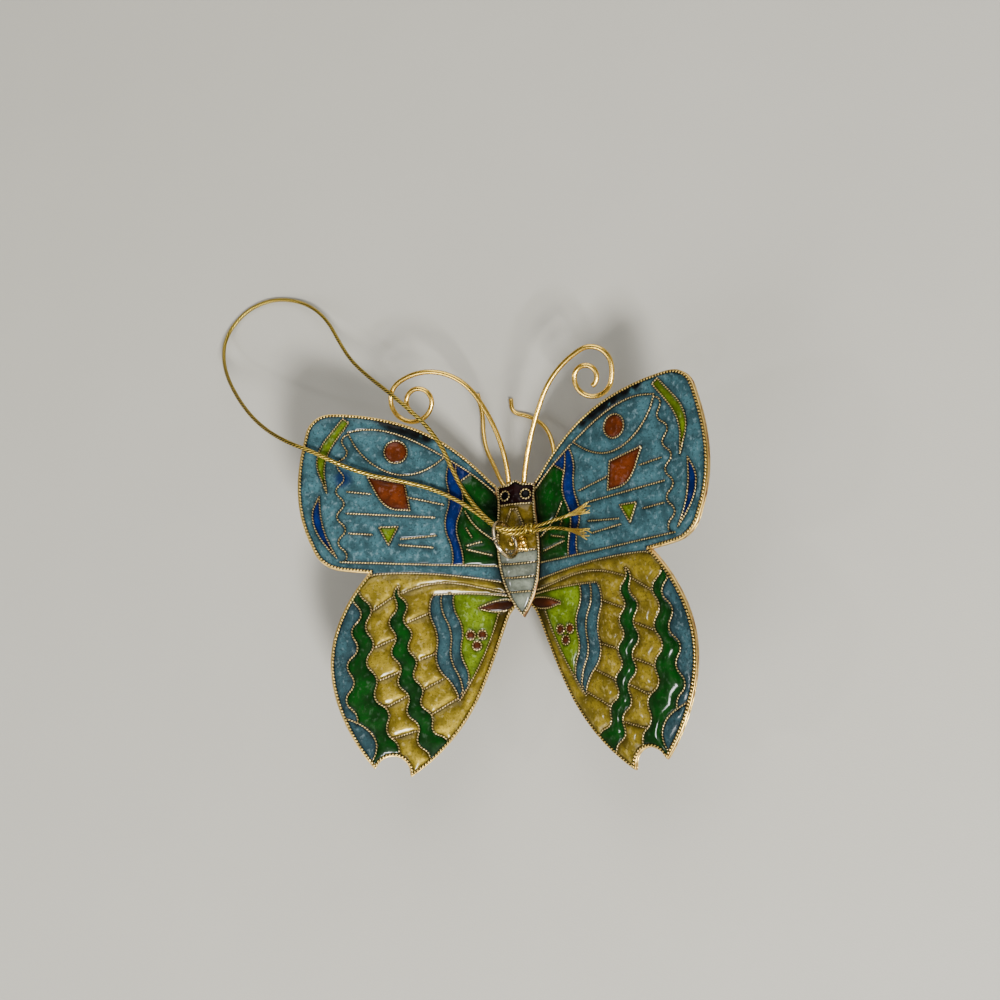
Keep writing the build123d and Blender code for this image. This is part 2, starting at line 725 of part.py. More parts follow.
def cord_radii(points):
    """The largest radius that each corner of a cord's route leaves room for."""
    radii = []
    for before, corner, after in zip(points, points[1:], points[2:]):
        run_in = Vector(*corner) - Vector(*before)
        run_out = Vector(*after) - Vector(*corner)
        half_turn = radians(run_in.get_angle(run_out) / 2)
        radii.append(cord_bend_share * min(run_in.length, run_out.length) / tan(half_turn))
    return radii


radii = cord_radii(cord_route)
print("cord radii", [round(radius, 1) for radius in radii])
cord_path = FilletPolyline(*cord_route, radius=radii)
hanging_cord = bent_wire(cord_path, cord_diameter, cord_sides)
keep(hanging_cord, "hanging_cord")
section = cord_sides / 2 * (cord_diameter / 2) ** 2 * sin(radians(360 / cord_sides))
print("cord length", round(cord_path.length, 1))
print("cord volume", round(hanging_cord.part.volume, 2), "of", round(section * cord_path.length, 2))

with BuildPart() as cord_knot:
    with BuildSketch(Plane(origin=knot_centre, x_dir=(1, 0, 0), z_dir=(0, -1, 0))):
        end = knot_length / 2
        top = knot_diameter / 2
        shoulder_along = knot_shoulder_share * knot_length
        shoulder_top = knot_shoulder_height * top
        Polygon(
            (-end, 0),
            (-shoulder_along, shoulder_top),
            (0, top),
            (shoulder_along, shoulder_top),
            (end, 0),
            align=None,
        )
    revolve(axis=Axis(knot_centre, (1, 0, 0)))
keep(cord_knot, "cord_knot")

tail_routes = {
    "upper_cord_tail": [(3.6, 1.9, 12.4), (7.1, 2.6, 12.8), (10.9, 3.1, 14.4), (16.0, 4.1, 16.6)],
    "lower_cord_tail": [(3.6, 1.2, 12.4), (7.1, 1.5, 12.8), (10.8, 0.8, 14.4), (15.6, -1.0, 16.5)],
}
for name, points in tail_routes.items():
    keep(bent_wire(FilletPolyline(*points, radius=cord_radii(points)), tail_diameter, cord_sides), name)
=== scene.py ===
from math import atan2, cos, pi, radians, sin, sqrt

import bmesh
import bpy
import numpy as np
from bpy.props import FloatProperty, FloatVectorProperty, PointerProperty
from bpy.types import Operator, Panel, PropertyGroup
from mathutils import Matrix, Vector, noise
from mathutils.geometry import delaunay_2d_cdt


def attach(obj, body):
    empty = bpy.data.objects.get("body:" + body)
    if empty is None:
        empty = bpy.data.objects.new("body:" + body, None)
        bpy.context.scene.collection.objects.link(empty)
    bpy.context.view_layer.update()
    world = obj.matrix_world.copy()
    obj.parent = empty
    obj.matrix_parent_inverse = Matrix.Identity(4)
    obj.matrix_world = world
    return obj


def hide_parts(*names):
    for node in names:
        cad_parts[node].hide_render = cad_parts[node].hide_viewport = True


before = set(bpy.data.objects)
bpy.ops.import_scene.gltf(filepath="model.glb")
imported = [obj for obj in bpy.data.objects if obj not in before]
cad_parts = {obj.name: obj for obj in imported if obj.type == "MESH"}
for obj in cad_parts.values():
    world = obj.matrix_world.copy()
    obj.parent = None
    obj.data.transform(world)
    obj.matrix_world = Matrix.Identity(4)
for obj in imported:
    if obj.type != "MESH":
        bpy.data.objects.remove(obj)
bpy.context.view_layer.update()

bl_info = {
    "name": "Butterfly ornament",
    "version": (1, 0, 0),
    "blender": (4, 5, 0),
    "location": "View3D > Sidebar > Butterfly",
    "description": "Dresses the butterfly ornament in enamel, twisted wire and cord",
    "category": "Object",
}

MM = 0.001
SIDES = {"right": 1, "left": -1}
ORNAMENT = "ornament"
RING = "ring"

# The frame's own sizes, in metres, as the solids have them
WING_LIFT = radians(24.0)
FOLD_HEIGHT = 8.0 * MM
CROWN_HEIGHT = 11.7 * MM
BODY_ARCH_ACROSS = 8.492 * MM
BODY_ARCH_ALONG = 60.0 * MM
PLATE_THICKNESS = 0.5 * MM
STRIP_WIDTH = 0.36 * MM
RIM_WIDTH = 0.6 * MM
BODY_RIM_WIDTH = 0.5 * MM
BODY_ENAMEL_DEPTH = 0.5 * MM


class ButterflySizes(PropertyGroup):
    """Sizes of the trim that the solids only stand in for."""

    wire_radius: FloatProperty(
        name="Cell wire radius",
        description="Half the thickness of the twisted wire between the cells",
        default=0.14 * MM,
        unit="LENGTH",
    )
    wire_twist: FloatProperty(
        name="Twist length",
        description="Length of twisted wire in which its two strands turn once",
        default=1.1 * MM,
        unit="LENGTH",
    )
    rim_radius: FloatProperty(
        name="Rim wire radius",
        description="Half the thickness of the beaded wire along a wing's edge",
        default=0.25 * MM,
        unit="LENGTH",
    )
    edge_radius: FloatProperty(
        name="Edge wire radius",
        description="Half the thickness of the plain wire outside the beaded one",
        default=0.17 * MM,
        unit="LENGTH",
    )
    enamel_edge: FloatProperty(
        name="Enamel edge height",
        description="Height of the enamel above the plate where it meets a wire",
        default=0.40 * MM,
        unit="LENGTH",
    )
    cord_diameter: FloatProperty(
        name="Cord diameter",
        description="Diameter of the hanging cord",
        default=0.9 * MM,
        unit="LENGTH",
    )
    tail_diameter: FloatProperty(
        name="Tail diameter",
        description="Diameter of each of the cord's two loose ends",
        default=0.7 * MM,
        unit="LENGTH",
    )


def colour(name, description, default):
    """A colour that a user may change."""
    return FloatVectorProperty(
        name=name, description=description, default=default, subtype="COLOR", size=3, min=0.0, max=1.0
    )


class ButterflyColours(PropertyGroup):
    """Colours of the enamels, the metal and the stage."""

    sky: colour("Sky", "Pale blue enamel of the wings", (0.026, 0.066, 0.076))
    green: colour("Green", "Dark green enamel", (0.001, 0.024, 0.001))
    cobalt: colour("Cobalt", "Deep blue enamel", (0.0008, 0.01, 0.07))
    orange: colour("Orange", "Red orange enamel", (0.07, 0.0135, 0.002))
    lime: colour("Lime", "Yellow green enamel", (0.078, 0.118, 0.003))
    gold: colour("Gold", "Ochre enamel over foil", (0.17, 0.122, 0.011))
    red: colour("Berry", "Brown red enamel", (0.075, 0.017, 0.003))
    head: colour("Head", "Maroon enamel of the head", (0.006, 0.0005, 0.0004))
    eye: colour("Eye", "Black enamel of the eyes", (0.0008, 0.0008, 0.0008))
    thorax: colour("Thorax", "Ochre enamel of the thorax", (0.1, 0.066, 0.004))
    abdomen: colour("Abdomen", "Grey white enamel of the abdomen", (0.112, 0.124, 0.092))
    back: colour("Back", "Plain enamel on the wings' backs", (0.012, 0.035, 0.055))
    gilt: colour("Gilt", "Gilding of the wires", (0.6, 0.45, 0.19))
    rod: colour("Rod", "Yellower gilding of the antennae, the legs and the hanger", (0.72, 0.46, 0.08))
    thread: colour("Thread", "Metallic thread of the cord", (0.85, 0.6, 0.1))
    floor: colour("Floor", "Surface that the ornament stands on", (0.32, 0.306, 0.262))


def sizes():
    """The sizes that the user has set."""
    return bpy.context.scene.butterfly_sizes


def colours():
    """The colours that the user has set."""
    return bpy.context.scene.butterfly_colours


# Materials


class Shade:
    """A socket of a material's nodes that can be used in arithmetic."""

    def __init__(self, finish, socket):
        self.finish = finish
        self.socket = socket

    def calculate(self, operation, first, second):
        return self.finish.node("ShaderNodeMath", {"operation": operation}, Value=first, Value_001=second)

    def __add__(self, other):
        return self.calculate("ADD", self, other)

    def __radd__(self, other):
        return self.calculate("ADD", other, self)

    def __sub__(self, other):
        return self.calculate("SUBTRACT", self, other)

    def __rsub__(self, other):
        return self.calculate("SUBTRACT", other, self)

    def __mul__(self, other):
        return self.calculate("MULTIPLY", self, other)

    def __rmul__(self, other):
        return self.calculate("MULTIPLY", other, self)

    def __truediv__(self, other):
        return self.calculate("DIVIDE", self, other)

    def __pow__(self, other):
        return self.calculate("POWER", self, other)


class Finish:
    """The nodes of a material or a world with one shader, whose sockets are set by value or by a shade."""

    def __init__(self, owner, shader="Principled BSDF"):
        owner.use_nodes = True
        self.owner = owner
        self.tree = owner.node_tree
        self.shader = self.tree.nodes[shader]
        self.place = self.node("ShaderNodeTexCoord", output="Object")

    def set_socket(self, socket, value):
        if isinstance(value, Shade):
            self.tree.links.new(value.socket, socket)
        elif socket.type == "RGBA":
            socket.default_value = (*value, 1.0)
        else:
            socket.default_value = value

    def node(self, kind, settings=None, output=None, **inputs):
        """Adds a node of a kind, with its settings first and then the values or links of its sockets."""
        made = self.tree.nodes.new(kind)
        for name, value in (settings or {}).items():
            setattr(made, name, value)
        by_name = {socket.identifier.replace(" ", "_"): socket for socket in made.inputs}
        for name, value in inputs.items():
            self.set_socket(by_name[name], value)
        found = [socket for socket in made.outputs if socket.identifier == output] if output else made.outputs
        return Shade(self, found[0])

    def noise(self, size, detail=2.0, roughness=0.5, stretch=None):
        """A soft random pattern from 0 to 1, with patches of about a size in metres."""
        place = self.place
        if stretch:
            place = self.node("ShaderNodeVectorMath", {"operation": "MULTIPLY"}, Vector=place, Vector_001=stretch)
        return self.node(
            "ShaderNodeTexNoise", output="Fac", Vector=place, Scale=1.0 / size, Detail=detail, Roughness=roughness
        )

    def specks(self, size, share):
        """A mask of small round specks that cover a share of the cells of a random grid."""
        cells = self.node("ShaderNodeTexVoronoi", output="Distance", Vector=self.place, Scale=1.0 / size)
        return self.between(cells, share, 0.6 * share)

    def between(self, value, low, high):
        """How far a value is on its way from low to high, smoothly and kept from 0 to 1."""
        return self.node(
            "ShaderNodeMapRange",
            {"interpolation_type": "SMOOTHSTEP"},
            Value=value,
            From_Min=low,
            From_Max=high,
        )

    def mix(self, share, first, second):
        """A colour between two others."""
        return self.node(
            "ShaderNodeMix",
            {"data_type": "RGBA"},
            output="Result_Color",
            Factor_Float=share,
            A_Color=first,
            B_Color=second,
        )

    def attribute(self, name):
        """A value that the mesh keeps at its points."""
        return self.node("ShaderNodeAttribute", {"attribute_name": name}, output="Fac")

    def near(self, point, reach):
        """1 at a point of the object and 0 from a distance onwards."""
        distance = self.node(
            "ShaderNodeVectorMath", {"operation": "DISTANCE"}, output="Value", Vector=self.place, Vector_001=point
        )
        return self.between(distance, reach, 0.2 * reach)

    def near_fold(self):
        """1 beside the body and 0 further out on the wings: the mask of the body's painted shadow on them."""
        split = self.node("ShaderNodeSeparateXYZ", output="X", Vector=self.place)
        across = self.node("ShaderNodeMath", {"operation": "ABSOLUTE"}, Value=split)
        return self.between(across, 7.4 * MM, 4.0 * MM)

    def bump(self, height, depth):
        """A normal that follows a height from 0 to 1, with a depth in metres."""
        return self.node("ShaderNodeBump", Height=height, Distance=depth, Strength=1.0)

    def shade(self, **inputs):
        """Sets sockets of the shader, with their names written with underscores."""
        for name, value in inputs.items():
            self.set_socket(self.shader.inputs[name.replace("_", " ")], value)
        return self.owner


def scaled(rgb, factor):
    """A colour made darker or lighter."""
    return tuple(min(1.0, part * factor) for part in rgb)


def blended(rgb, other, share):
    """A colour between two others, worked out once."""
    return tuple(a + (b - a) * share for a, b in zip(rgb, other))


def enamel_finish(name, rgb, grain, gloss, foil=0.0, shaded_beside_wires=True, painted_root_shadow=0.0, stains=()):
    """Glass fused on metal: granular under a smooth skin, with painted shade where it meets the wires and, where asked,
    a painted shadow of the body.
    """
    finish = Finish(bpy.data.materials.new(name))
    clouds = finish.noise(3.2 * MM, detail=4.0, roughness=0.6)
    grains = finish.noise(0.45 * MM, detail=3.0, roughness=0.7)
    flecks = finish.noise(0.8 * MM, detail=3.0, roughness=0.6, stretch=(1.0, 0.85, 1.0))
    # depth is 0 at the wires and 1 clear of them: the mask of the shade painted beside the wires.
    depth = finish.attribute("crest") if shaded_beside_wires else 1.0
    cloudy = finish.mix(finish.between(clouds, 0.34, 0.66), scaled(rgb, 0.58), scaled(rgb, 1.35))
    dark = finish.mix(finish.between(grains, 0.48, 0.68) * grain, cloudy, scaled(rgb, 0.35))
    bright = finish.mix(
        finish.between(flecks, 0.54, 0.7) * (0.8 * grain), dark, blended(scaled(rgb, 1.8), (0.5, 0.5, 0.5), 0.12)
    )
    # Painted shade: the enamel is darkened next to the wires, as if they shadowed it.
    wire_shaded = finish.mix(depth, scaled(rgb, 0.08), bright)
    pits = finish.specks(0.9 * MM, 0.16) * finish.between(clouds, 0.45, 0.6)
    pitted = finish.mix(pits * 0.7, wire_shaded, scaled(rgb, 0.15))
    # Painted shadow: the wing enamel is darkened beside the body, where the body shades it.
    surface = finish.mix(finish.near_fold() * painted_root_shadow, pitted, scaled(rgb, 0.05))
    for point, reach, stain in stains:
        torn = finish.near(point, reach) * finish.between(finish.noise(1.3 * MM, detail=3.0), 0.30, 0.42)
        surface = finish.mix(torn, surface, stain)
    return finish.shade(
        Base_Color=surface,
        Metallic=foil,
        Roughness=0.30 + grains * 0.3,
        Specular_IOR_Level=0.04,
        Coat_Weight=gloss,
        Coat_Roughness=0.09,
        Normal=finish.bump(grains + flecks, 0.05 * MM),
    )


def gilt_finish(name, rgb, wear, dull):
    """Gilding, with dark tarnish in patches, fine drawn lines, and painted shade in the grooves between the wire's
    beads.
    """
    finish = Finish(bpy.data.materials.new(name))
    patches = finish.noise(1.8 * MM, detail=4.0, roughness=0.65)
    fine = finish.noise(0.12 * MM, detail=2.0)
    tarnish = finish.between(patches, 0.5, 0.72) * wear
    worn = finish.mix(tarnish, rgb, scaled((rgb[0] * 0.8, rgb[1] * 0.7, rgb[2] * 0.55), 0.35))
    glow = finish.mix(finish.between(fine, 0.55, 0.8) * 0.2, worn, blended(rgb, (1.0, 0.85, 0.55), 0.5))
    # Painted shade: the grooves between the twisted wire's beads are painted near black.
    shaded_in_grooves = finish.mix(finish.between(finish.attribute("crest"), 0.5, 0.9), scaled(rgb, 0.02), glow)
    return finish.shade(
        Base_Color=shaded_in_grooves,
        Metallic=1.0,
        Roughness=dull + tarnish * 0.25 + fine * 0.08,
        Normal=finish.bump(fine, 0.008 * MM),
    )


def copper_finish():
    """Sheet copper, browned by the kiln, with a gilded skin left in patches."""
    finish = Finish(bpy.data.materials.new("copper"))
    patches = finish.noise(2.2 * MM, detail=4.0, roughness=0.6)
    fine = finish.noise(0.2 * MM, detail=2.0)
    base = finish.mix(finish.between(patches, 0.4, 0.65), (0.55, 0.36, 0.14), (0.20, 0.09, 0.04))
    return finish.shade(
        Base_Color=base,
        Metallic=1.0,
        Roughness=0.32 + fine * 0.2,
        Normal=finish.bump(fine, 0.015 * MM),
    )


def thread_finish(name, rgb):
    """Metallic thread: bright foil wound on a core, darker between the windings, with painted shade in the grooves
    between the cord's strands.
    """
    finish = Finish(bpy.data.materials.new(name))
    windings = finish.noise(0.09 * MM, detail=2.0, roughness=0.6)
    patches = finish.noise(2.5 * MM, detail=2.0)
    base = finish.mix(finish.between(windings, 0.4, 0.62), scaled(rgb, 0.30), scaled(rgb, 1.15))
    aged = finish.mix(finish.between(patches, 0.45, 0.7) * 0.4, base, scaled(rgb, 0.5))
    # Painted shade: the grooves between the laid strands are painted near black.
    shaded_in_grooves = finish.mix(finish.between(finish.attribute("crest"), 0.45, 0.95), scaled(rgb, 0.015), aged)
    return finish.shade(
        Base_Color=shaded_in_grooves,
        Metallic=1.0,
        Roughness=0.20 + windings * 0.2,
        Normal=finish.bump(windings, 0.02 * MM),
    )


def floor_finish(rgb):
    """Plain pale cloth: a fine close weave with hardly any colour of its own."""
    finish = Finish(bpy.data.materials.new("pale_floor"))
    weave = finish.noise(0.35 * MM, detail=2.0)
    broad = finish.noise(30 * MM, detail=2.0)
    base = finish.mix(broad * 0.5 + weave * 0.2, scaled(rgb, 0.94), scaled(rgb, 1.06))
    return finish.shade(Base_Color=base, Roughness=0.75, Normal=finish.bump(weave, 0.03 * MM))


# Flat outlines, as lists of points in a plane


def loop_area(loop):
    """Area of a closed outline, positive where it turns left."""
    return 0.5 * sum(loop[i - 1].cross(point) for i, point in enumerate(loop))


def shifted(points, amount, closed):
    """A line moved to its left by an amount, with its corners kept sharp."""
    moved = []
    last = len(points) - 1
    for index, point in enumerate(points):
        ways = []
        if closed or index > 0:
            ways.append((point - points[index - 1]).normalized())
        if closed or index < last:
            ways.append((points[(index + 1) % len(points)] - point).normalized())
        normals = [Vector((-way.y, way.x)) for way in ways]
        middle = (normals[0] + normals[-1]).normalized()
        moved.append(point + middle * (amount / max(middle.dot(normals[0]), 0.5)))
    return moved


def turn_at(points, index):
    """The angle that a closed line turns by at one of its points."""
    before = points[index] - points[index - 1]
    after = points[(index + 1) % len(points)] - points[index]
    if before.length < 1e-9 or after.length < 1e-9:
        return 0.0
    return abs(before.angle_signed(after))


def smoothed(points, passes=3):
    """An open line with its corners cut again and again, and its ends kept."""
    for _ in range(passes):
        if len(points) < 3:
            return points
        cut = [points[0]]
        for first, second in zip(points, points[1:]):
            cut += [first.lerp(second, 0.25), first.lerp(second, 0.75)]
        points = cut + [points[-1]]
    return points


def rounded(points, closed, sharpest=radians(60.0)):
    """A line with gentle bends made smooth and sharp corners kept."""
    if not closed:
        inner = [i for i in range(1, len(points) - 1) if turn_at(points, i) > sharpest]
        stops = [0] + inner + [len(points) - 1]
        line = [points[0]]
        for first, last in zip(stops, stops[1:]):
            line += smoothed(points[first : last + 1])[1:]
        return line
    corners = [i for i in range(len(points)) if turn_at(points, i) > sharpest]
    if not corners:
        start = points[0].lerp(points[-1], 0.5)
        return smoothed([start] + points + [start])[:-1]
    turned = points[corners[0] :] + points[: corners[0]]
    return rounded(turned + turned[:1], False, sharpest)[:-1]


def evenly(points, step, closed):
    """Points a step apart along a line, its ends included."""
    line = points + points[:1] if closed else points
    runs = [(second - first).length for first, second in zip(line, line[1:])]
    count = max(2, round(sum(runs) / step))
    places = [sum(runs) * i / count for i in range(count if closed else count + 1)]
    spread = []
    index, walked = 0, 0.0
    for place in places:
        while index < len(runs) - 1 and walked + runs[index] < place:
            walked += runs[index]
            index += 1
        share = (place - walked) / runs[index] if runs[index] > 0 else 0.0
        spread.append(line[index].lerp(line[index + 1], min(1.0, share)))
    return spread


def inside(point, outline):
    """Whether a point lies in a closed outline."""
    found = False
    for i, second in enumerate(outline):
        first = outline[i - 1]
        if (first.y > point.y) != (second.y > point.y):
            crossing = first.x + (point.y - first.y) / (second.y - first.y) * (second.x - first.x)
            if point.x < crossing:
                found = not found
    return found


# Outlines read from the solids


def top_outlines(node, up, flatness=0.9):
    """The outlines of each top face of a CAD node's solids: for each, a list of closed loops of points."""
    mesh = bmesh.new()
    mesh.from_mesh(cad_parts[node].data)
    bmesh.ops.remove_doubles(mesh, verts=mesh.verts, dist=1e-6)
    mesh.normal_update()
    tops = [face for face in mesh.faces if face.normal.dot(up) > flatness]
    waiting = dict.fromkeys(tops)
    tops = set(tops)
    found = []
    while waiting:
        region = [next(iter(waiting))]
        del waiting[region[0]]
        edges = {}
        for face in region:
            for edge in face.edges:
                beside = [other for other in edge.link_faces if other in tops and other is not face]
                if not beside:
                    edges.setdefault(edge.verts[0], []).append(edge.verts[1])
                    edges.setdefault(edge.verts[1], []).append(edge.verts[0])
                for other in beside:
                    if other in waiting:
                        del waiting[other]
                        region.append(other)
        found.append(chained(edges))
    mesh.free()
    return found


def chained(neighbours):
    """Closed loops of points from a table of neighbouring corners."""
    loops = []
    while neighbours:
        start = next(iter(neighbours))
        loop = [start]
        while True:
            here = loop[-1]
            following = [corner for corner in neighbours[here]]
            if not following:
                break
            step = following[0]
            neighbours[here].remove(step)
            neighbours[step].remove(here)
            if step is start:
                break
            loop.append(step)
        loops.append([corner.co.copy() for corner in loop])
        neighbours = {corner: others for corner, others in neighbours.items() if others}
    return loops


def turned_left(loop):
    """A closed outline that runs anticlockwise."""
    return loop if loop_area(loop) > 0 else loop[::-1]


def strip_line(loops, width):
    """The line along the middle of a flat strip, and whether it closes on itself."""
    ordered = sorted((turned_left(loop) for loop in loops), key=loop_area)
    outer = ordered[-1]
    if len(ordered) > 1:
        return shifted(outer, width / 2, True), True
    pairs = [(a, b) for a in range(len(outer)) for b in range(a)]
    first, last = max(pairs, key=lambda pair: (outer[pair[0]] - outer[pair[1]]).length)
    chain = [outer[i % len(outer)] for i in range(first, last + len(outer) + 1)]
    for _ in range(2):
        chain.reverse()
        if len(chain) > 2:
            end, before = chain[-1] - chain[-2], chain[-2] - chain[-3]
            if end.length < 1.6 * width and abs(before.angle_signed(end, 0.0)) > radians(50.0):
                chain.pop()
    return shifted(chain, width / 2, False), False


def wing_up(side):
    """The direction out of a wing's upper face."""
    return Vector((-side * sin(WING_LIFT), 0.0, cos(WING_LIFT)))


def wing_flat(side, point):
    """A point's place in the plane of a wing, across from the fold and along the body."""
    return Vector((side * point.x * cos(WING_LIFT) + (point.z - FOLD_HEIGHT) * sin(WING_LIFT), point.y))


def wing_point(side, flat, height):
    """The point above a place on a wing's upper face."""
    x = flat.x * cos(WING_LIFT) - height * sin(WING_LIFT)
    return Vector((side * x, flat.y, FOLD_HEIGHT + flat.x * sin(WING_LIFT) + height * cos(WING_LIFT)))


def body_top(flat, height):
    """The point above a place on the body's arched enamel."""
    across = BODY_ARCH_ALONG - BODY_ARCH_ACROSS + sqrt(max(0.0, BODY_ARCH_ACROSS**2 - flat.x**2))
    rise = sqrt(across**2 - flat.y**2) - BODY_ARCH_ALONG
    return Vector((flat.x, flat.y, CROWN_HEIGHT + rise + height))


# Meshes


def make_piece(name, points, faces, crests, material, node, slot, body=ORNAMENT):
    """A piece that takes a node's place, from points, faces and how far each point stands out."""
    mesh = bpy.data.meshes.new(name)
    mesh.from_pydata([tuple(point) for point in points], [], faces)
    mesh.materials.append(material)
    mesh.polygons.foreach_set("use_smooth", [True] * len(mesh.polygons))
    # The crest values mask painted shade: low crests, in the grooves of wires and cord and in enamel beside the wires,
    # are painted darker.
    mesh.attributes.new("crest", "FLOAT", "POINT").data.foreach_set("value", crests)
    mesh.update()
    piece = bpy.data.objects.new(name, mesh)
    bpy.context.scene.collection.objects.link(piece)
    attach(piece, body)
    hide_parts(node)
    return piece


def sweep(line, ups, closed, ring):
    """Points, faces and crests of a tube along a line; ring gives its section at each step."""
    points, faces, crests = [], [], []
    count = len(line)
    sides = 0
    for index, centre in enumerate(line):
        before = line[index - 1] if closed or index > 0 else line[0]
        after = line[(index + 1) % count] if closed or index < count - 1 else line[-1]
        way = (after - before).normalized()
        up = ups[index]
        side = way.cross(up).normalized()
        lift = side.cross(way)
        section = ring(index)
        sides = len(section)
        points += [centre + side * x + lift * y for x, y, _ in section]
        crests += [crest for _, _, crest in section]
    rings = count if closed else count - 1
    for index in range(rings):
        here = index * sides
        there = (index + 1) % count * sides
        for k in range(sides):
            after = (k + 1) % sides
            faces.append((here + k, here + after, there + after, there + k))
    if not closed:
        faces.append(tuple(reversed(range(sides))))
        faces.append(tuple((count - 1) * sides + k for k in range(sides)))
    return points, faces, crests


def plain_ring(radius, sides):
    """Sections of a smooth round wire."""
    turns = [2 * pi * k / sides for k in range(sides)]
    section = [(radius * cos(turn), radius * sin(turn), 1.0) for turn in turns]
    return lambda index: section


def twisted_ring(radius, strands, turn_each_step, sides, groove):
    """Sections of strands twisted together: lobes that turn along the wire, with grooves between them."""

    def ring(index):
        section = []
        for k in range(sides):
            angle = 2 * pi * k / sides
            crest = abs(cos(strands / 2 * (angle - index * turn_each_step)))
            reach = radius * (1.0 - groove * (1.0 - crest))
            section.append((reach * cos(angle), reach * sin(angle), crest))
        return section

    return ring


def beaded_ring(radius, turn_each_step, sides):
    """Sections of two strands twisted and rolled flat: a row of slanted beads seen from above."""
    slant, waist = 0.35, 0.5

    def ring(index):
        section = []
        for k in range(sides):
            angle = 2 * pi * k / sides - pi / 2
            crest = abs(cos(index * turn_each_step - slant * (angle - pi / 2)))
            reach = radius * (waist + (1.0 - waist) * crest)
            section.append((reach * cos(angle), reach * sin(angle), crest))
        return section

    return ring


def twisted_wires(lines, place, up, radius, twist_length):
    """Twisted wires along flat lines, which place puts in space."""
    step = twist_length / 10
    wires = []
    for line, closed in lines:
        even = [place(point) for point in evenly(line, step, closed)]
        half_turns = max(1, round(2 * len(even) * step / twist_length))
        ring = beaded_ring(radius, pi * half_turns / len(even), 10)
        wires.append(sweep(even, [up] * len(even), closed, ring))
    return joined(*wires)


def joined(*meshes):
    """The points, faces and crests of several meshes as one."""
    points, faces, crests = [], [], []
    for more_points, more_faces, more_crests in meshes:
        start = len(points)
        points += more_points
        faces += [tuple(start + i for i in face) for face in more_faces]
        crests += more_crests
    return points, faces, crests


def carried_ups(line, closed):
    """For each point of a line in space, a direction across the line that turns with it."""
    up = Vector((0.0, 0.0, 1.0))
    ups = []
    for index in range(len(line)):
        before = line[index - 1] if closed or index > 0 else line[0]
        after = line[(index + 1) % len(line)] if closed or index < len(line) - 1 else line[-1]
        way = (after - before).normalized()
        up = (up - way * up.dot(way)).normalized()
        ups.append(up)
    return ups


def bent_rod(line, radius, closed=False, sides=14):
    """A smooth round wire along a line in space."""
    return sweep(line, carried_ups(line, closed), closed, plain_ring(radius, sides))


def laid_cord(line, diameter, closed=False):
    """A cord of strands laid together along a line in space."""
    step = CORD_LAY / 20
    even = evenly(line, step, closed)
    turns = max(1, round(len(even) * step / CORD_LAY))
    ring = twisted_ring(diameter / 2, CORD_STRANDS, 2 * pi * turns / len(even), 16, 0.45)
    return sweep(even, carried_ups(even, closed), closed, ring)


class ButterflyOperator(Operator):
    """Shared settings of the operators."""

    bl_options = {"REGISTER", "UNDO"}


# Cord

CORD_STRANDS = 4
CORD_LAY = 3.4 * MM
CORD_ROUTE = [
    (2.6, 2.0, 12.7),
    (1.0, 1.7, 14.6),
    (-1.4, 1.4, 15.5),
    (-3.6, 2.9, 15.7),
    (-6.6, 6.1, 15.6),
    (-9.3, 10.2, 15.6),
    (-11.0, 14.4, 16.6),
    (-12.6, 19.2, 17.8),
    (-15.5, 23.7, 18.7),
    (-19.2, 27.5, 19.1),
    (-23.7, 31.7, 17.8),
    (-29.4, 36.5, 13.9),
    (-35.1, 41.9, 9.6),
    (-39.2, 47.6, 6.4),
    (-42.8, 53.4, 3.6),
    (-47.3, 58.2, 1.6),
    (-52.8, 61.3, 0.6),
    (-58.7, 62.3, 0.5),
    (-64.2, 61.0, 0.5),
    (-68.3, 57.9, 0.6),
    (-70.3, 53.8, 1.4),
    (-69.5, 49.0, 3.6),
    (-66.2, 43.0, 7.6),
    (-60.5, 36.0, 12.8),
    (-54.2, 29.8, 18.0),
    (-47.4, 24.7, 23.0),
    (-41.0, 21.0, 26.4),
    (-35.9, 18.7, 27.0),
    (-31.7, 16.2, 24.9),
    (-26.7, 14.0, 21.9),
    (-21.1, 12.7, 19.1),
    (-15.6, 11.0, 16.9),
    (-10.3, 8.2, 15.3),
    (-6.3, 5.0, 14.6),
    (-3.4, 2.4, 14.7),
    (-0.9, 0.75, 14.75),
    (1.1, 0.8, 14.1),
    (2.5, 1.3, 12.8),
]
KNOT_CENTRE = Vector((3.1, 1.7, 12.4))
KNOT_TURNS = [(0.0, 0.72, -0.55), (0.55, 0.80, 0.05), (-0.5, 0.70, 0.6)]  # tilt, radius and place along
TAIL_THREADS = 15
TAIL_LAID_SHARE = 0.60
TAIL_ROUTES = {
    "upper_cord_tail": [(3.6, 1.9, 12.4), (7.1, 2.6, 12.8), (10.9, 3.1, 14.4), (16.0, 4.1, 16.6)],
    "lower_cord_tail": [(3.6, 1.2, 12.4), (7.1, 1.5, 12.8), (10.8, 0.8, 14.4), (15.6, -1.0, 16.5)],
}


def spline_points(name, route):
    """Points along the smooth curve that has a route's points as its control points."""
    curve = bpy.data.curves.new(name, "CURVE")
    curve.dimensions = "3D"
    curve.resolution_u = 24
    spline = curve.splines.new("NURBS")
    spline.points.add(len(route) - 1)
    for point, place in zip(spline.points, route):
        point.co = (*[part * MM for part in place], 1.0)
    spline.order_u = 3
    spline.use_endpoint_u = True
    holder = bpy.data.objects.new(name, curve)
    bpy.context.scene.collection.objects.link(holder)
    bpy.context.view_layer.update()
    mesh = bpy.data.meshes.new_from_object(holder.evaluated_get(bpy.context.evaluated_depsgraph_get()))
    points = [vertex.co.copy() for vertex in mesh.vertices]
    bpy.data.objects.remove(holder)
    bpy.data.meshes.remove(mesh)
    bpy.data.curves.remove(curve)
    return points


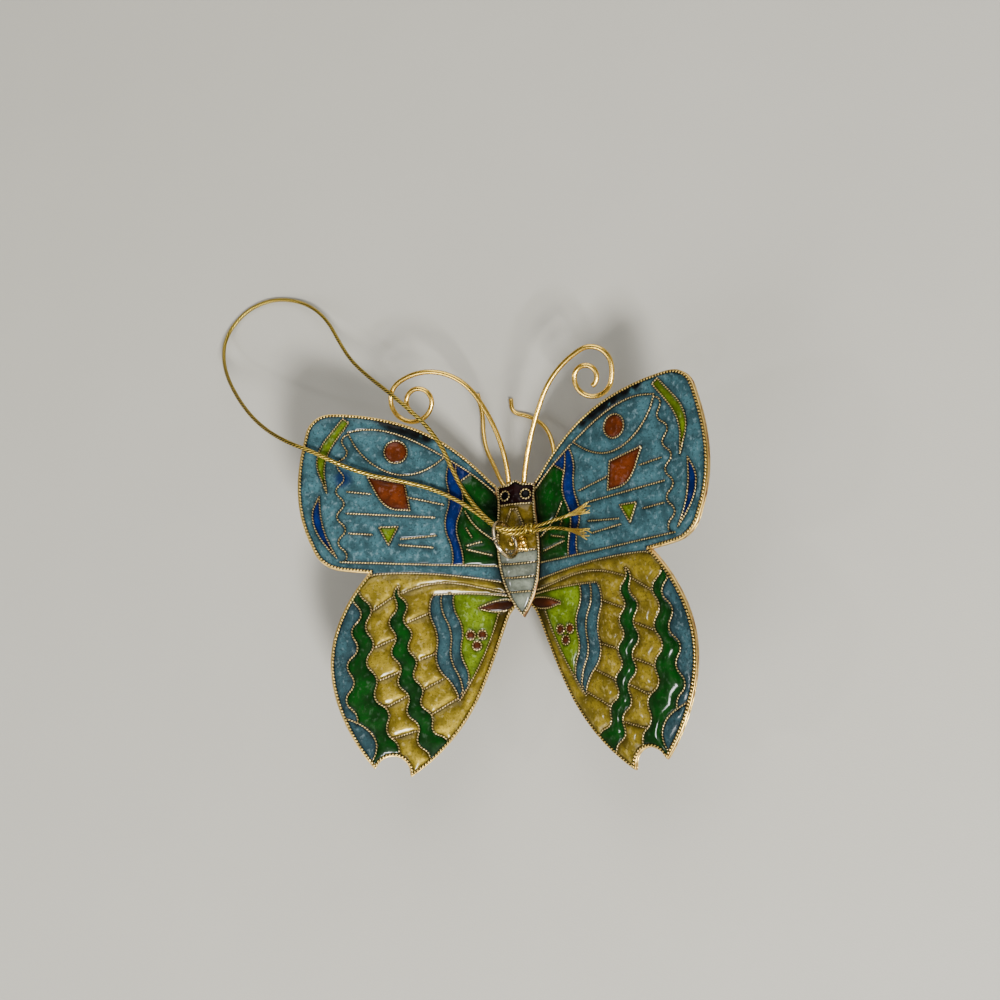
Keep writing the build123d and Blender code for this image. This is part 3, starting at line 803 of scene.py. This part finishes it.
class BUTTERFLY_OT_cord(ButterflyOperator):
    """Makes the hanging cord, its knot and its two frayed ends"""

    bl_idname = "butterfly.cord"
    bl_label = "Hanging cord"

    def execute(self, context):
        thread = thread_finish("gold_thread", colours().thread)
        diameter = sizes().cord_diameter
        line = spline_points("cord_line", CORD_ROUTE)
        cord = make_piece("hanging_cord_strands", *laid_cord(line, diameter), thread, "hanging_cord", "cord")
        knot = self.knot(thread, diameter)
        tails = [self.tail(name, route, thread) for name, route in TAIL_ROUTES.items()]
        return {"FINISHED"}

    def knot(self, thread, diameter):
        """Three turns of cord pulled tight over each other."""
        turns = []
        for tilt, reach, across in KNOT_TURNS:
            turn = Matrix.Rotation(tilt, 3, "Y") @ Matrix.Rotation(0.4 * tilt, 3, "Z")
            ring = []
            for step in range(36):
                angle = 2 * pi * step / 36
                local = Vector((0.12 * sin(2 * angle), reach * cos(angle), reach * sin(angle)))
                ring.append((KNOT_CENTRE + turn @ local + Vector((across, 0.0, 0.0))) * MM)
            turns.append(laid_cord(ring, 0.9 * diameter, closed=True))
        return make_piece("cord_knot_turns", *joined(*turns), thread, "cord_knot", "cord")

    def tail(self, name, route, thread):
        """A loose end: laid cord that opens into a brush of threads."""
        line = evenly(spline_points(name + "_line", route), 0.15 * MM, False)
        ups = carried_ups(line, False)
        diameter = sizes().tail_diameter
        last = len(line) - 1
        opening = round(TAIL_LAID_SHARE * last)
        pieces = [laid_cord(line[: opening + 1], diameter)]
        for k in range(TAIL_THREADS):
            strand = []
            for index in range(opening - 2, last + 1 - (k * 7) % 11):
                share = max(0.0, (index - opening) / (last - opening))
                side = (line[index] - line[index - 1]).normalized().cross(ups[index])
                spread = diameter * (0.30 + 1.25 * share**1.4)
                angle = 2 * pi * k / TAIL_THREADS + 0.9 * sin(3 * share + 2 * k)
                strand.append(line[index] + side * (spread * cos(angle)) + ups[index] * (spread * sin(angle)))
            pieces.append(bent_rod(strand, 0.14 * diameter, sides=6))
        return make_piece(name + "_threads", *joined(*pieces), thread, name, "cord")


# Wings


def flat_loops(node, side):
    """The outlines of a wing node's top faces, in the plane of the wing."""
    return [
        [[wing_flat(side, point) for point in loop] for loop in loops] for loops in top_outlines(node, wing_up(side))
    ]


def body_footprint(side):
    """The body's outline on the plane of a wing, a little larger than the body."""
    loops = top_outlines("body_rim_wire", Vector((0.0, 0.0, 1.0)), 0.6)[0]
    outer = max(([Vector((point.x, point.y)) for point in loop] for loop in loops), key=lambda loop: abs(loop_area(loop)))
    grown = shifted(turned_left(outer), -0.3 * MM, True)
    return [Vector((side * point.x / cos(WING_LIFT), point.y)) for point in grown]


def runs_outside(line, outline):
    """The stretches of a closed line that lie outside an outline."""
    flags = [inside(point, outline) for point in line]
    if not any(flags):
        return [(line, True)]
    start = next(i for i in range(len(line)) if flags[i - 1] and not flags[i])
    order = [(start + i) % len(line) for i in range(len(line))]
    runs = [[]]
    for i in order:
        if flags[i]:
            if runs[-1]:
                runs.append([])
        else:
            runs[-1].append(line[i])
    return [(run, False) for run in runs if len(run) > 8]


class BUTTERFLY_OT_rims(ButterflyOperator):
    """Makes the beaded wires along the edges of the wings, front and back"""

    bl_idname = "butterfly.rims"
    bl_label = "Wing rims"

    def execute(self, context):
        gilt = gilt_finish("gilt_rim", blended(colours().gilt, colours().rod, 0.6), 0.7, 0.26)
        copper = copper_finish()
        size = sizes()
        for name, side in SIDES.items():
            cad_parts[f"{name}_wing_plate"].data.materials.clear()
            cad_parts[f"{name}_wing_plate"].data.materials.append(copper)
            outline = turned_left(max(flat_loops(f"{name}_wing_plate", side)[0], key=lambda loop: abs(loop_area(loop))))
            hidden = body_footprint(side)
            beads = runs_outside(evenly(rounded(shifted(outline, 0.34 * MM, True), True), 0.1 * MM, True), hidden)
            edge = runs_outside(evenly(rounded(shifted(outline, 0.10 * MM, True), True), 0.3 * MM, True), hidden)
            up = wing_up(side)
            layers = {
                f"{name}_front_rim_wire": (0.42 * MM, 0.10 * MM),
                f"{name}_back_rim_wire": (-PLATE_THICKNESS - 0.18 * MM, -PLATE_THICKNESS - 0.02 * MM),
            }
            for node, (bead_height, edge_height) in layers.items():
                beaded = twisted_wires(
                    beads,
                    lambda flat: wing_point(side, flat, bead_height),
                    up,
                    size.rim_radius,
                    1.15 * size.wire_twist,
                )
                plain = []
                for line, closed in edge:
                    path = [wing_point(side, flat, edge_height) for flat in line]
                    plain.append(sweep(path, [up] * len(path), closed, plain_ring(size.edge_radius, 8)))
                make_piece(node + "_beads", *joined(beaded, *plain), gilt, node, "gilt_wire")
        return {"FINISHED"}


class BUTTERFLY_OT_cell_wires(ButterflyOperator):
    """Makes the twisted wires between the cells of the wings"""

    bl_idname = "butterfly.cell_wires"
    bl_label = "Cell wires"

    def execute(self, context):
        gilt = gilt_finish("gilt_cell_wire", colours().gilt, 0.6, 0.26)
        size = sizes()
        for name, side in SIDES.items():
            for wing in ("forewing", "hindwing"):
                node = f"{name}_{wing}_wires"
                lines = []
                for loops in flat_loops(node, side):
                    line, closed = strip_line(loops, STRIP_WIDTH)
                    lines.append((rounded(line, closed), closed))
                wires = twisted_wires(
                    lines,
                    lambda flat: wing_point(side, flat, 0.44 * MM),
                    wing_up(side),
                    size.wire_radius,
                    size.wire_twist,
                )
                make_piece(node + "_twisted", *wires, gilt, node, "gilt_wire")
        return {"FINISHED"}


ENAMEL_CELLS = {
    "forewing": ("sky", "green", "cobalt", "orange", "lime"),
    "hindwing": ("sky", "green", "gold", "lime", "red"),
}
DOMES = {"sky": 0.12, "green": 0.28, "cobalt": 0.22, "orange": 0.18, "lime": 0.16, "gold": 0.46, "red": 0.14}
# How dark the painted shadow of the body on the wing roots is.
PAINTED_ROOT_SHADOW = 0.85
SOOT = (0.0015, 0.0015, 0.0015)
DARK_BLUE = (0.003, 0.012, 0.040)
STAINS = {
    "left": [
        ((-24.4, 25.3, 19.5), 2.2, SOOT),
        ((-22.6, 24.5, 18.6), 3.0, SOOT),
        ((-20.4, 23.4, 17.6), 3.4, SOOT),
        ((-18.4, 22.4, 16.7), 2.8, SOOT),
        ((-16.4, 21.4, 15.8), 2.0, SOOT),
        ((-31.7, 13.6, 22.7), 2.6, DARK_BLUE),
    ],
    "right": [
        ((15.6, 21.0, 15.5), 2.0, SOOT),
        ((17.6, 22.3, 16.4), 3.0, SOOT),
        ((19.8, 23.3, 17.4), 3.4, SOOT),
        ((22.2, 24.2, 18.5), 3.4, SOOT),
        ((24.8, 25.0, 19.6), 2.8, SOOT),
        ((27.2, 25.6, 20.7), 2.0, SOOT),
    ],
}


def domed_cell(loops, dome, edge_height, spacing):
    """Flat places, heights, shares clear of the painted wire shade, and triangles of a cell's enamel, raised in its
    middle.
    """
    outlines = []
    ordered = sorted((turned_left(loop) for loop in loops), key=loop_area)
    overlap = 0.16 * MM
    outer = shifted(ordered[-1], -overlap, True)
    outlines.append(evenly(rounded(outer, True), 0.35 * MM, True))
    for hole in ordered[:-1]:
        outlines.append(evenly(rounded(shifted(hole, overlap, True), True), 0.35 * MM, True))
    edge_points = [point for outline in outlines for point in outline]
    edges = []
    start = 0
    for outline in outlines:
        count = len(outline)
        edges += [(start + i, start + (i + 1) % count) for i in range(count)]
        start += count
    low = Vector((min(p.x for p in outlines[0]), min(p.y for p in outlines[0])))
    high = Vector((max(p.x for p in outlines[0]), max(p.y for p in outlines[0])))
    border = np.array([tuple(point) for point in edge_points])
    grid = []
    row = 0
    y = low.y
    while y < high.y:
        x = low.x + (0.5 * spacing if row % 2 else 0.0)
        while x < high.x:
            place = Vector((x, y))
            if inside(place, outlines[0]) and not any(inside(place, hole) for hole in outlines[1:]):
                grid.append(place)
            x += spacing
        y += spacing * 0.866
        row += 1
    if grid:
        places = np.array([tuple(place) for place in grid])
        gaps = np.sqrt(((places[:, None, :] - border[None, :, :]) ** 2).sum(2)).min(1)
        grid = [(place, gap) for place, gap in zip(grid, gaps) if gap > 0.45 * spacing]
    flat = edge_points + [place for place, _ in grid]
    gaps = [0.0] * len(edge_points) + [gap for _, gap in grid]
    made, _, triangles, original, _, _ = delaunay_2d_cdt(flat, edges, [], 1, 1e-9)
    kept = []
    for triangle in triangles:
        middle = (made[triangle[0]] + made[triangle[1]] + made[triangle[2]]) / 3
        if inside(middle, outlines[0]) and not any(inside(middle, hole) for hole in outlines[1:]):
            kept.append(tuple(triangle))
    heights, clear_of_wire_shade = [], []
    for index, place in enumerate(made):
        gap = gaps[original[index][0]] if original[index] else 0.0
        share = 1.0 - pow(2.718, -((gap / (0.75 * MM)) ** 1.4))
        wobble = noise.noise(Vector((place.x, place.y, 0.0)) / (2.4 * MM)) * 0.05 * MM * share
        heights.append(edge_height + dome * share + wobble)
        # 0 at the wires, rising to 1 in the open: the mask for the shade painted beside the wires.
        clear_of_wire_shade.append(1.0 - pow(2.718, -(gap / (0.45 * MM))))
    return made, heights, clear_of_wire_shade, kept


class BUTTERFLY_OT_wing_enamel(ButterflyOperator):
    """Makes the enamel in the cells of the wings, domed between the wires"""

    bl_idname = "butterfly.wing_enamel"
    bl_label = "Wing enamel"

    def execute(self, context):
        tint = colours()
        finishes = {
            "green": enamel_finish("green_enamel", tint.green, 0.35, 0.35, painted_root_shadow=PAINTED_ROOT_SHADOW),
            "cobalt": enamel_finish("cobalt_enamel", tint.cobalt, 0.5, 0.3),
            "orange": enamel_finish("orange_enamel", tint.orange, 0.5, 0.2),
            "lime": enamel_finish("lime_enamel", tint.lime, 0.8, 0.2, painted_root_shadow=PAINTED_ROOT_SHADOW),
            "gold": enamel_finish("gold_enamel", tint.gold, 0.8, 0.22, foil=0.5, painted_root_shadow=PAINTED_ROOT_SHADOW),
            "red": enamel_finish("berry_enamel", tint.red, 0.6, 0.25, painted_root_shadow=PAINTED_ROOT_SHADOW),
        }
        for name, side in SIDES.items():
            stains = [([part * MM for part in point], reach * MM, stain) for point, reach, stain in STAINS[name]]
            for wing, cell_colours in ENAMEL_CELLS.items():
                sky = tint.sky if wing == "forewing" else scaled(tint.sky, 0.65)
                finishes["sky"] = enamel_finish(
                    f"{name}_{wing}_sky_enamel", sky, 0.8, 0.16, painted_root_shadow=PAINTED_ROOT_SHADOW, stains=stains
                )
                for cell_colour in cell_colours:
                    node = f"{name}_{wing}_{cell_colour}_enamel"
                    enamel = filled_cells(
                        flat_loops(node, side),
                        lambda flat, height: wing_point(side, flat, height),
                        DOMES[cell_colour] * MM,
                        sizes().enamel_edge,
                        0.0,
                        side < 0,
                    )
                    make_piece(node + "_domed", *enamel, finishes[cell_colour], node, f"{cell_colour}_enamel")
            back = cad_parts[f"{name}_back_enamel"].data.materials
            back.clear()
            back.append(enamel_finish(f"{name}_back_enamel", tint.back, 0.6, 0.4, shaded_beside_wires=False))
        return {"FINISHED"}


def filled_cells(cells, place, dome, edge_height, base_height, turned):
    """Closed bodies of enamel in flat cells: a domed top, a flat base and the walls between them."""
    points, faces, crests = [], [], []
    for loops in cells:
        made, heights, cell_crests, triangles = domed_cell(loops, dome, edge_height, 0.5 * MM)
        start = len(points)
        under = start + len(made)
        points += [place(flat, height) for flat, height in zip(made, heights)]
        points += [place(flat, base_height) for flat in made]
        crests += cell_crests + [0.0] * len(made)
        edges = set()
        for triangle in triangles:
            order = triangle[::-1] if turned else triangle
            faces.append(tuple(start + i for i in order))
            faces.append(tuple(under + i for i in reversed(order)))
            edges.update(zip(order, order[1:] + order[:1]))
        for first, second in edges:
            if (second, first) not in edges:
                faces.append((start + second, start + first, under + first, under + second))
    return points, faces, crests


# Body


def seen_from_above(node):
    """The outlines of a body node's top faces, seen from above."""
    return [
        [[Vector((point.x, point.y)) for point in loop] for loop in loops]
        for loops in top_outlines(node, Vector((0.0, 0.0, 1.0)), 0.5)
    ]


class BUTTERFLY_OT_body(ButterflyOperator):
    """Finishes the body: its enamel, its copper, and the twisted wires on it"""

    bl_idname = "butterfly.body"
    bl_label = "Body"

    def execute(self, context):
        tint = colours()
        finishes = {
            "head_enamel": enamel_finish("head_enamel", tint.head, 0.5, 0.03),
            "eye_enamel": enamel_finish("eye_enamel", tint.eye, 0.4, 0.08),
            "thorax_enamel": enamel_finish("thorax_enamel", tint.thorax, 0.7, 0.4, foil=0.2),
            "abdomen_enamel": enamel_finish("abdomen_enamel", tint.abdomen, 0.4, 0.4),
        }
        for node, material in finishes.items():
            enamel = filled_cells(
                seen_from_above(node), body_top, 0.14 * MM, -0.08 * MM, -BODY_ENAMEL_DEPTH, False
            )
            make_piece(node + "_domed", *enamel, material, node, node)
        copper = copper_finish()
        for node in ("body_shell", "belly_shell"):
            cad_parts[node].data.materials.clear()
            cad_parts[node].data.materials.append(copper)
        gilt = gilt_finish("gilt_body_wire", tint.gilt, 0.6, 0.26)
        up = Vector((0.0, 0.0, 1.0))
        for node, width, radius, height in (
            ("body_wires", STRIP_WIDTH, 0.15 * MM, 0.03 * MM),
            ("body_rim_wire", BODY_RIM_WIDTH, 0.23 * MM, 0.02 * MM),
        ):
            lines = []
            for loops in seen_from_above(node):
                line, closed = strip_line(loops, width)
                lines.append((rounded(line, closed), closed))
            wires = twisted_wires(lines, lambda place: body_top(place, height), up, radius, sizes().wire_twist)
            make_piece(node + "_twisted", *wires, gilt, node, "gilt_wire")
        return {"FINISHED"}


# Antennae, legs and hanger

ANTENNAE = {
    "left_antenna": ((-1.5, 0.7), 86.6, [(32.4, 33), (11.7, 88), (4.4, 223), (2.7, 250)]),
    "right_antenna": ((1.8, 0.9), 76.3, [(64.7, -15), (18.6, -37), (4.0, -111), (8.4, -25), (3.6, -175), (2.2, -225)]),
}
ANTENNA_TILT = radians(20.0)
ANTENNA_ROOT = Vector((0.0, 11.5, 9.4))
SEAT_HEIGHT = 6.955
FOOT = 0.45
LEGS = {
    "left_front_leg": [
        (-1.4, 9.3, SEAT_HEIGHT),
        (-4.0, 12.7, 6.5),
        (-5.7, 16.2, 4.5),
        (-8.1, 20.7, 2.3),
        (-9.0, 25.0, 0.9),
        (-9.0, 28.8, FOOT),
        (-9.9, 33.5, FOOT),
    ],
    "right_front_leg": [
        (1.4, 9.3, SEAT_HEIGHT),
        (7.2, 13.0, 6.1),
        (7.1, 19.2, 4.4),
        (5.2, 24.2, 2.4),
        (1.4, 27.2, 0.8),
        (-2.5, 28.4, FOOT),
        (-2.6, 31.5, FOOT),
    ],
}
MIDDLE_LEG = [(1.2, -2.0), (5.0, -1.6), (8.0, -0.8), (9.3, -0.3), (11.6, 0.6)]
HIND_LEG = [(1.0, -7.5), (4.2, -8.8), (6.8, -10.6), (7.9, -11.5), (9.6, -13.4)]
LEG_HEIGHTS = [SEAT_HEIGHT, SEAT_HEIGHT - 0.4, 3.4, FOOT, FOOT]


def antenna_line(root, heading, arcs):
    """The line of an antenna: tangent arcs in a plane that rises towards the front."""
    way = radians(heading)
    place = Vector(root)
    flat = [place - Vector((cos(way), sin(way))) * 1.6, place.copy()]
    for radius, sweep_angle in arcs:
        turn = radians(sweep_angle)
        side = 1 if turn > 0 else -1
        centre = place + Vector((-sin(way), cos(way))) * (side * radius)
        steps = max(6, round(radius * abs(turn) / 0.35))
        for step in range(1, steps + 1):
            angle = way + turn * step / steps
            flat.append(centre + Vector((sin(angle), -cos(angle))) * (side * radius))
        way += turn
        place = flat[-1]
    rise = Vector((0.0, cos(ANTENNA_TILT), sin(ANTENNA_TILT)))
    return [(ANTENNA_ROOT + Vector((point.x, 0.0, 0.0)) + rise * point.y) * MM for point in flat]


class BUTTERFLY_OT_wire_limbs(ButterflyOperator):
    """Makes the antennae and the legs from smooth gilt wire"""

    bl_idname = "butterfly.wire_limbs"
    bl_label = "Antennae and legs"

    def execute(self, context):
        gilt = gilt_finish("gilt_rod", colours().rod, 0.5, 0.22)
        for name, (root, heading, arcs) in ANTENNAE.items():
            line = evenly(antenna_line(root, heading, arcs), 0.3 * MM, False)
            make_piece(name + "_wire", *bent_rod(line, 0.5 * MM), gilt, name, "gilt_rod")
        legs = dict(LEGS)
        for name, side in SIDES.items():
            for kind, places in (("middle_leg", MIDDLE_LEG), ("hind_leg", HIND_LEG)):
                legs[f"{name}_{kind}"] = [(side * x, y, z) for (x, y), z in zip(places, LEG_HEIGHTS)]
        for name, route in legs.items():
            corners = [Vector(point) * MM for point in route]
            line = evenly(smoothed(corners, passes=4), 0.3 * MM, False)
            make_piece(name + "_wire", *bent_rod(line, 0.45 * MM), gilt, name, "gilt_rod")
        return {"FINISHED"}


HINGE = Vector((0.0, -0.2, 12.59))
HANGER_TURN = radians(16.0)
RING_LEAN = radians(17.0)
RING_RADIUS = 3.55
RING_SLIT = radians(4.0)
EYE_HALF = 1.15


SOLDER_BEADS = [
    ((-1.05, -0.55), 0.75, 0.45),
    ((1.25, -0.35), 1.05, 0.75),
    ((1.75, -1.75), 0.85, 0.60),
    ((0.75, -1.75), 0.60, 0.40),
]


def solder_bead(place, reach, rise):
    """A lump of solder on the back: its place there, how far it spreads and how high it stands, in mm."""
    rings, sides = 8, 20
    points, faces = [], []
    for ring in range(rings + 1):
        slope = 0.5 * pi * ring / rings
        for k in range(sides):
            turn = 2 * pi * k / sides
            lump = 1.0 + 0.18 * noise.noise(Vector((2 * cos(turn) + place[0], 2 * sin(turn) + place[1], ring / 4)))
            spread = reach * lump * cos(slope)
            flat = Vector((place[0] + spread * cos(turn), place[1] + spread * sin(turn))) * MM
            points.append(body_top(flat, (rise * sin(slope) - 0.1) * MM))
    for ring in range(rings):
        for k in range(sides):
            here, there = ring * sides + k, ring * sides + (k + 1) % sides
            faces.append((here, there, there + sides, here + sides))
    faces.append(tuple(reversed(range(sides))))
    return points, faces, [1.0] * len(points)


class BUTTERFLY_OT_hanger(ButterflyOperator):
    """Makes the eye on the back and the ring that swings in it"""

    bl_idname = "butterfly.hanger"
    bl_label = "Hanger"

    def execute(self, context):
        gilt = gilt_finish("gilt_hanger", colours().rod, 0.4, 0.18)
        way = Vector((-sin(HANGER_TURN), cos(HANGER_TURN), 0.0))
        left = Vector((-cos(HANGER_TURN), -sin(HANGER_TURN), 0.0))
        rise = Vector((0.0, 0.0, 1.0))
        foot = rise * 1.35
        eye = [HINGE + left * EYE_HALF - foot]
        for step in range(25):
            angle = pi * step / 24
            eye.append(HINGE + left * (EYE_HALF * cos(angle)) + rise * (EYE_HALF * sin(angle)))
        eye.append(HINGE - left * EYE_HALF - foot)
        line = [point * MM for point in eye]
        eye_mesh = joined(bent_rod(line, 0.4 * MM), *[solder_bead(*bead) for bead in SOLDER_BEADS])
        make_piece("hanger_eye_wire", *eye_mesh, gilt, "hanger_eye", "gilt_rod")
        up = left * sin(RING_LEAN) + rise * cos(RING_LEAN)
        centre = HINGE + up * RING_RADIUS
        ring = []
        for step in range(73):
            angle = (2 * pi - RING_SLIT) * step / 72
            ring.append((centre + up * (RING_RADIUS * cos(angle)) + way * (RING_RADIUS * sin(angle))) * MM)
        bronze = gilt_finish("worn_ring", blended(colours().rod, (0.46, 0.42, 0.36), 0.7), 0.7, 0.16)
        make_piece("hanger_ring_wire", *bent_rod(ring, 0.45 * MM), bronze, "hanger_ring", "gilt_rod", RING)
        return {"FINISHED"}


# Stage

CAMERA_PLACE = Vector((58.267, -28.733, 218.394)) * MM
CAMERA_AXES = (
    (0.9550175, -0.0523244, -0.2918967),
    (0.0986456, 0.9843094, 0.1463015),
    (0.2796615, -0.1685148, 0.9451942),
)
CAMERA_LENS = 39.6
FLOOR_FLAT = 0.5
FLOOR_REACH = 1.15
WALL_HEIGHT = 0.5
FLOOR_RINGS = 14
FLOOR_SIDES = 64


class BUTTERFLY_OT_stage(ButterflyOperator):
    """Sets up the floor, the lights and the camera"""

    bl_idname = "butterfly.stage"
    bl_label = "Stage"

    def execute(self, context):
        scene = context.scene
        self.floor(scene)
        self.camera(scene)
        self.light(scene, "key_light", (0.35, -0.50, 0.60), 0.16, 19.0)
        self.light(scene, "fill_light", (-0.40, -0.55, 0.45), 0.40, 5.0)
        self.light(scene, "back_light", (0.10, 0.62, 0.62), 0.70, 6.0)
        self.light(scene, "glint_light", (-0.44, -0.07, 0.42), 0.04, 0.6)
        studio = Finish(bpy.data.worlds.new("studio"), "Background")
        height = studio.node("ShaderNodeSeparateXYZ", output="Z", Vector=studio.place)
        scene.world = studio.shade(
            Color=(0.82, 0.82, 0.83),
            Strength=0.08 + studio.between(height, 0.46, 0.18) * 0.42,
        )
        return {"FINISHED"}

    def floor(self, scene):
        """A round floor that is flat round the ornament and rises smoothly to a wall far from it."""
        points = [(0.0, 0.0, 0.0)]
        for ring in range(FLOOR_RINGS + 1):
            share = ring / FLOOR_RINGS
            reach = FLOOR_FLAT + (FLOOR_REACH - FLOOR_FLAT) * share
            for side in range(FLOOR_SIDES):
                turn = 2 * pi * side / FLOOR_SIDES
                points.append((reach * cos(turn), reach * sin(turn), WALL_HEIGHT * share**2))
        faces = [(0, 1 + side, 1 + (side + 1) % FLOOR_SIDES) for side in range(FLOOR_SIDES)]
        for ring in range(FLOOR_RINGS):
            for side in range(FLOOR_SIDES):
                here = 1 + ring * FLOOR_SIDES + side
                there = 1 + ring * FLOOR_SIDES + (side + 1) % FLOOR_SIDES
                faces.append((here, here + FLOOR_SIDES, there + FLOOR_SIDES, there))
        mesh = bpy.data.meshes.new("floor")
        mesh.from_pydata(points, [], faces)
        mesh.polygons.foreach_set("use_smooth", [True] * len(mesh.polygons))
        mesh.materials.append(floor_finish(colours().floor))
        floor = bpy.data.objects.new("floor", mesh)
        scene.collection.objects.link(floor)

    def camera(self, scene):
        """Places the camera at the photograph's viewing angle."""
        data = bpy.data.cameras.new("camera")
        data.sensor_width = 36.0
        data.lens = CAMERA_LENS
        data.clip_start = 0.01
        camera = bpy.data.objects.new("camera", data)
        turn = Matrix(CAMERA_AXES).transposed().to_4x4()
        camera.matrix_world = Matrix.Translation(CAMERA_PLACE) @ turn
        scene.collection.objects.link(camera)
        scene.camera = camera

    def light(self, scene, name, place, size, power):
        """A square soft light that faces the ornament."""
        data = bpy.data.lights.new(name, "AREA")
        data.size = size
        data.energy = power
        light = bpy.data.objects.new(name, data)
        light.location = place
        light.rotation_mode = "QUATERNION"
        light.rotation_quaternion = (-Vector(place)).to_track_quat("-Z", "Y")
        scene.collection.objects.link(light)


class VIEW3D_PT_butterfly(Panel):
    """Lists the steps that dress the ornament"""

    bl_label = "Butterfly ornament"
    bl_space_type = "VIEW_3D"
    bl_region_type = "UI"
    bl_category = "Butterfly"

    def draw(self, context):
        for operator in OPERATORS:
            self.layout.operator(operator.bl_idname)
        for group in (context.scene.butterfly_sizes, context.scene.butterfly_colours):
            for name in group.__annotations__:
                self.layout.prop(group, name)


OPERATORS = (
    BUTTERFLY_OT_stage,
    BUTTERFLY_OT_cord,
    BUTTERFLY_OT_rims,
    BUTTERFLY_OT_cell_wires,
    BUTTERFLY_OT_wing_enamel,
    BUTTERFLY_OT_body,
    BUTTERFLY_OT_wire_limbs,
    BUTTERFLY_OT_hanger,
)
GROUPS = (ButterflySizes, ButterflyColours)


def register():
    for group in GROUPS + OPERATORS + (VIEW3D_PT_butterfly,):
        bpy.utils.register_class(group)
    bpy.types.Scene.butterfly_sizes = PointerProperty(type=ButterflySizes)
    bpy.types.Scene.butterfly_colours = PointerProperty(type=ButterflyColours)


def unregister():
    del bpy.types.Scene.butterfly_colours
    del bpy.types.Scene.butterfly_sizes
    for group in reversed(GROUPS + OPERATORS + (VIEW3D_PT_butterfly,)):
        bpy.utils.unregister_class(group)


def main():
    register()
    bpy.ops.butterfly.stage()
    bpy.ops.butterfly.cord()
    bpy.ops.butterfly.rims()
    bpy.ops.butterfly.cell_wires()
    bpy.ops.butterfly.wing_enamel()
    bpy.ops.butterfly.body()
    bpy.ops.butterfly.wire_limbs()
    bpy.ops.butterfly.hanger()
    bpy.context.view_layer.update()


if __name__ == "__main__":
    main()
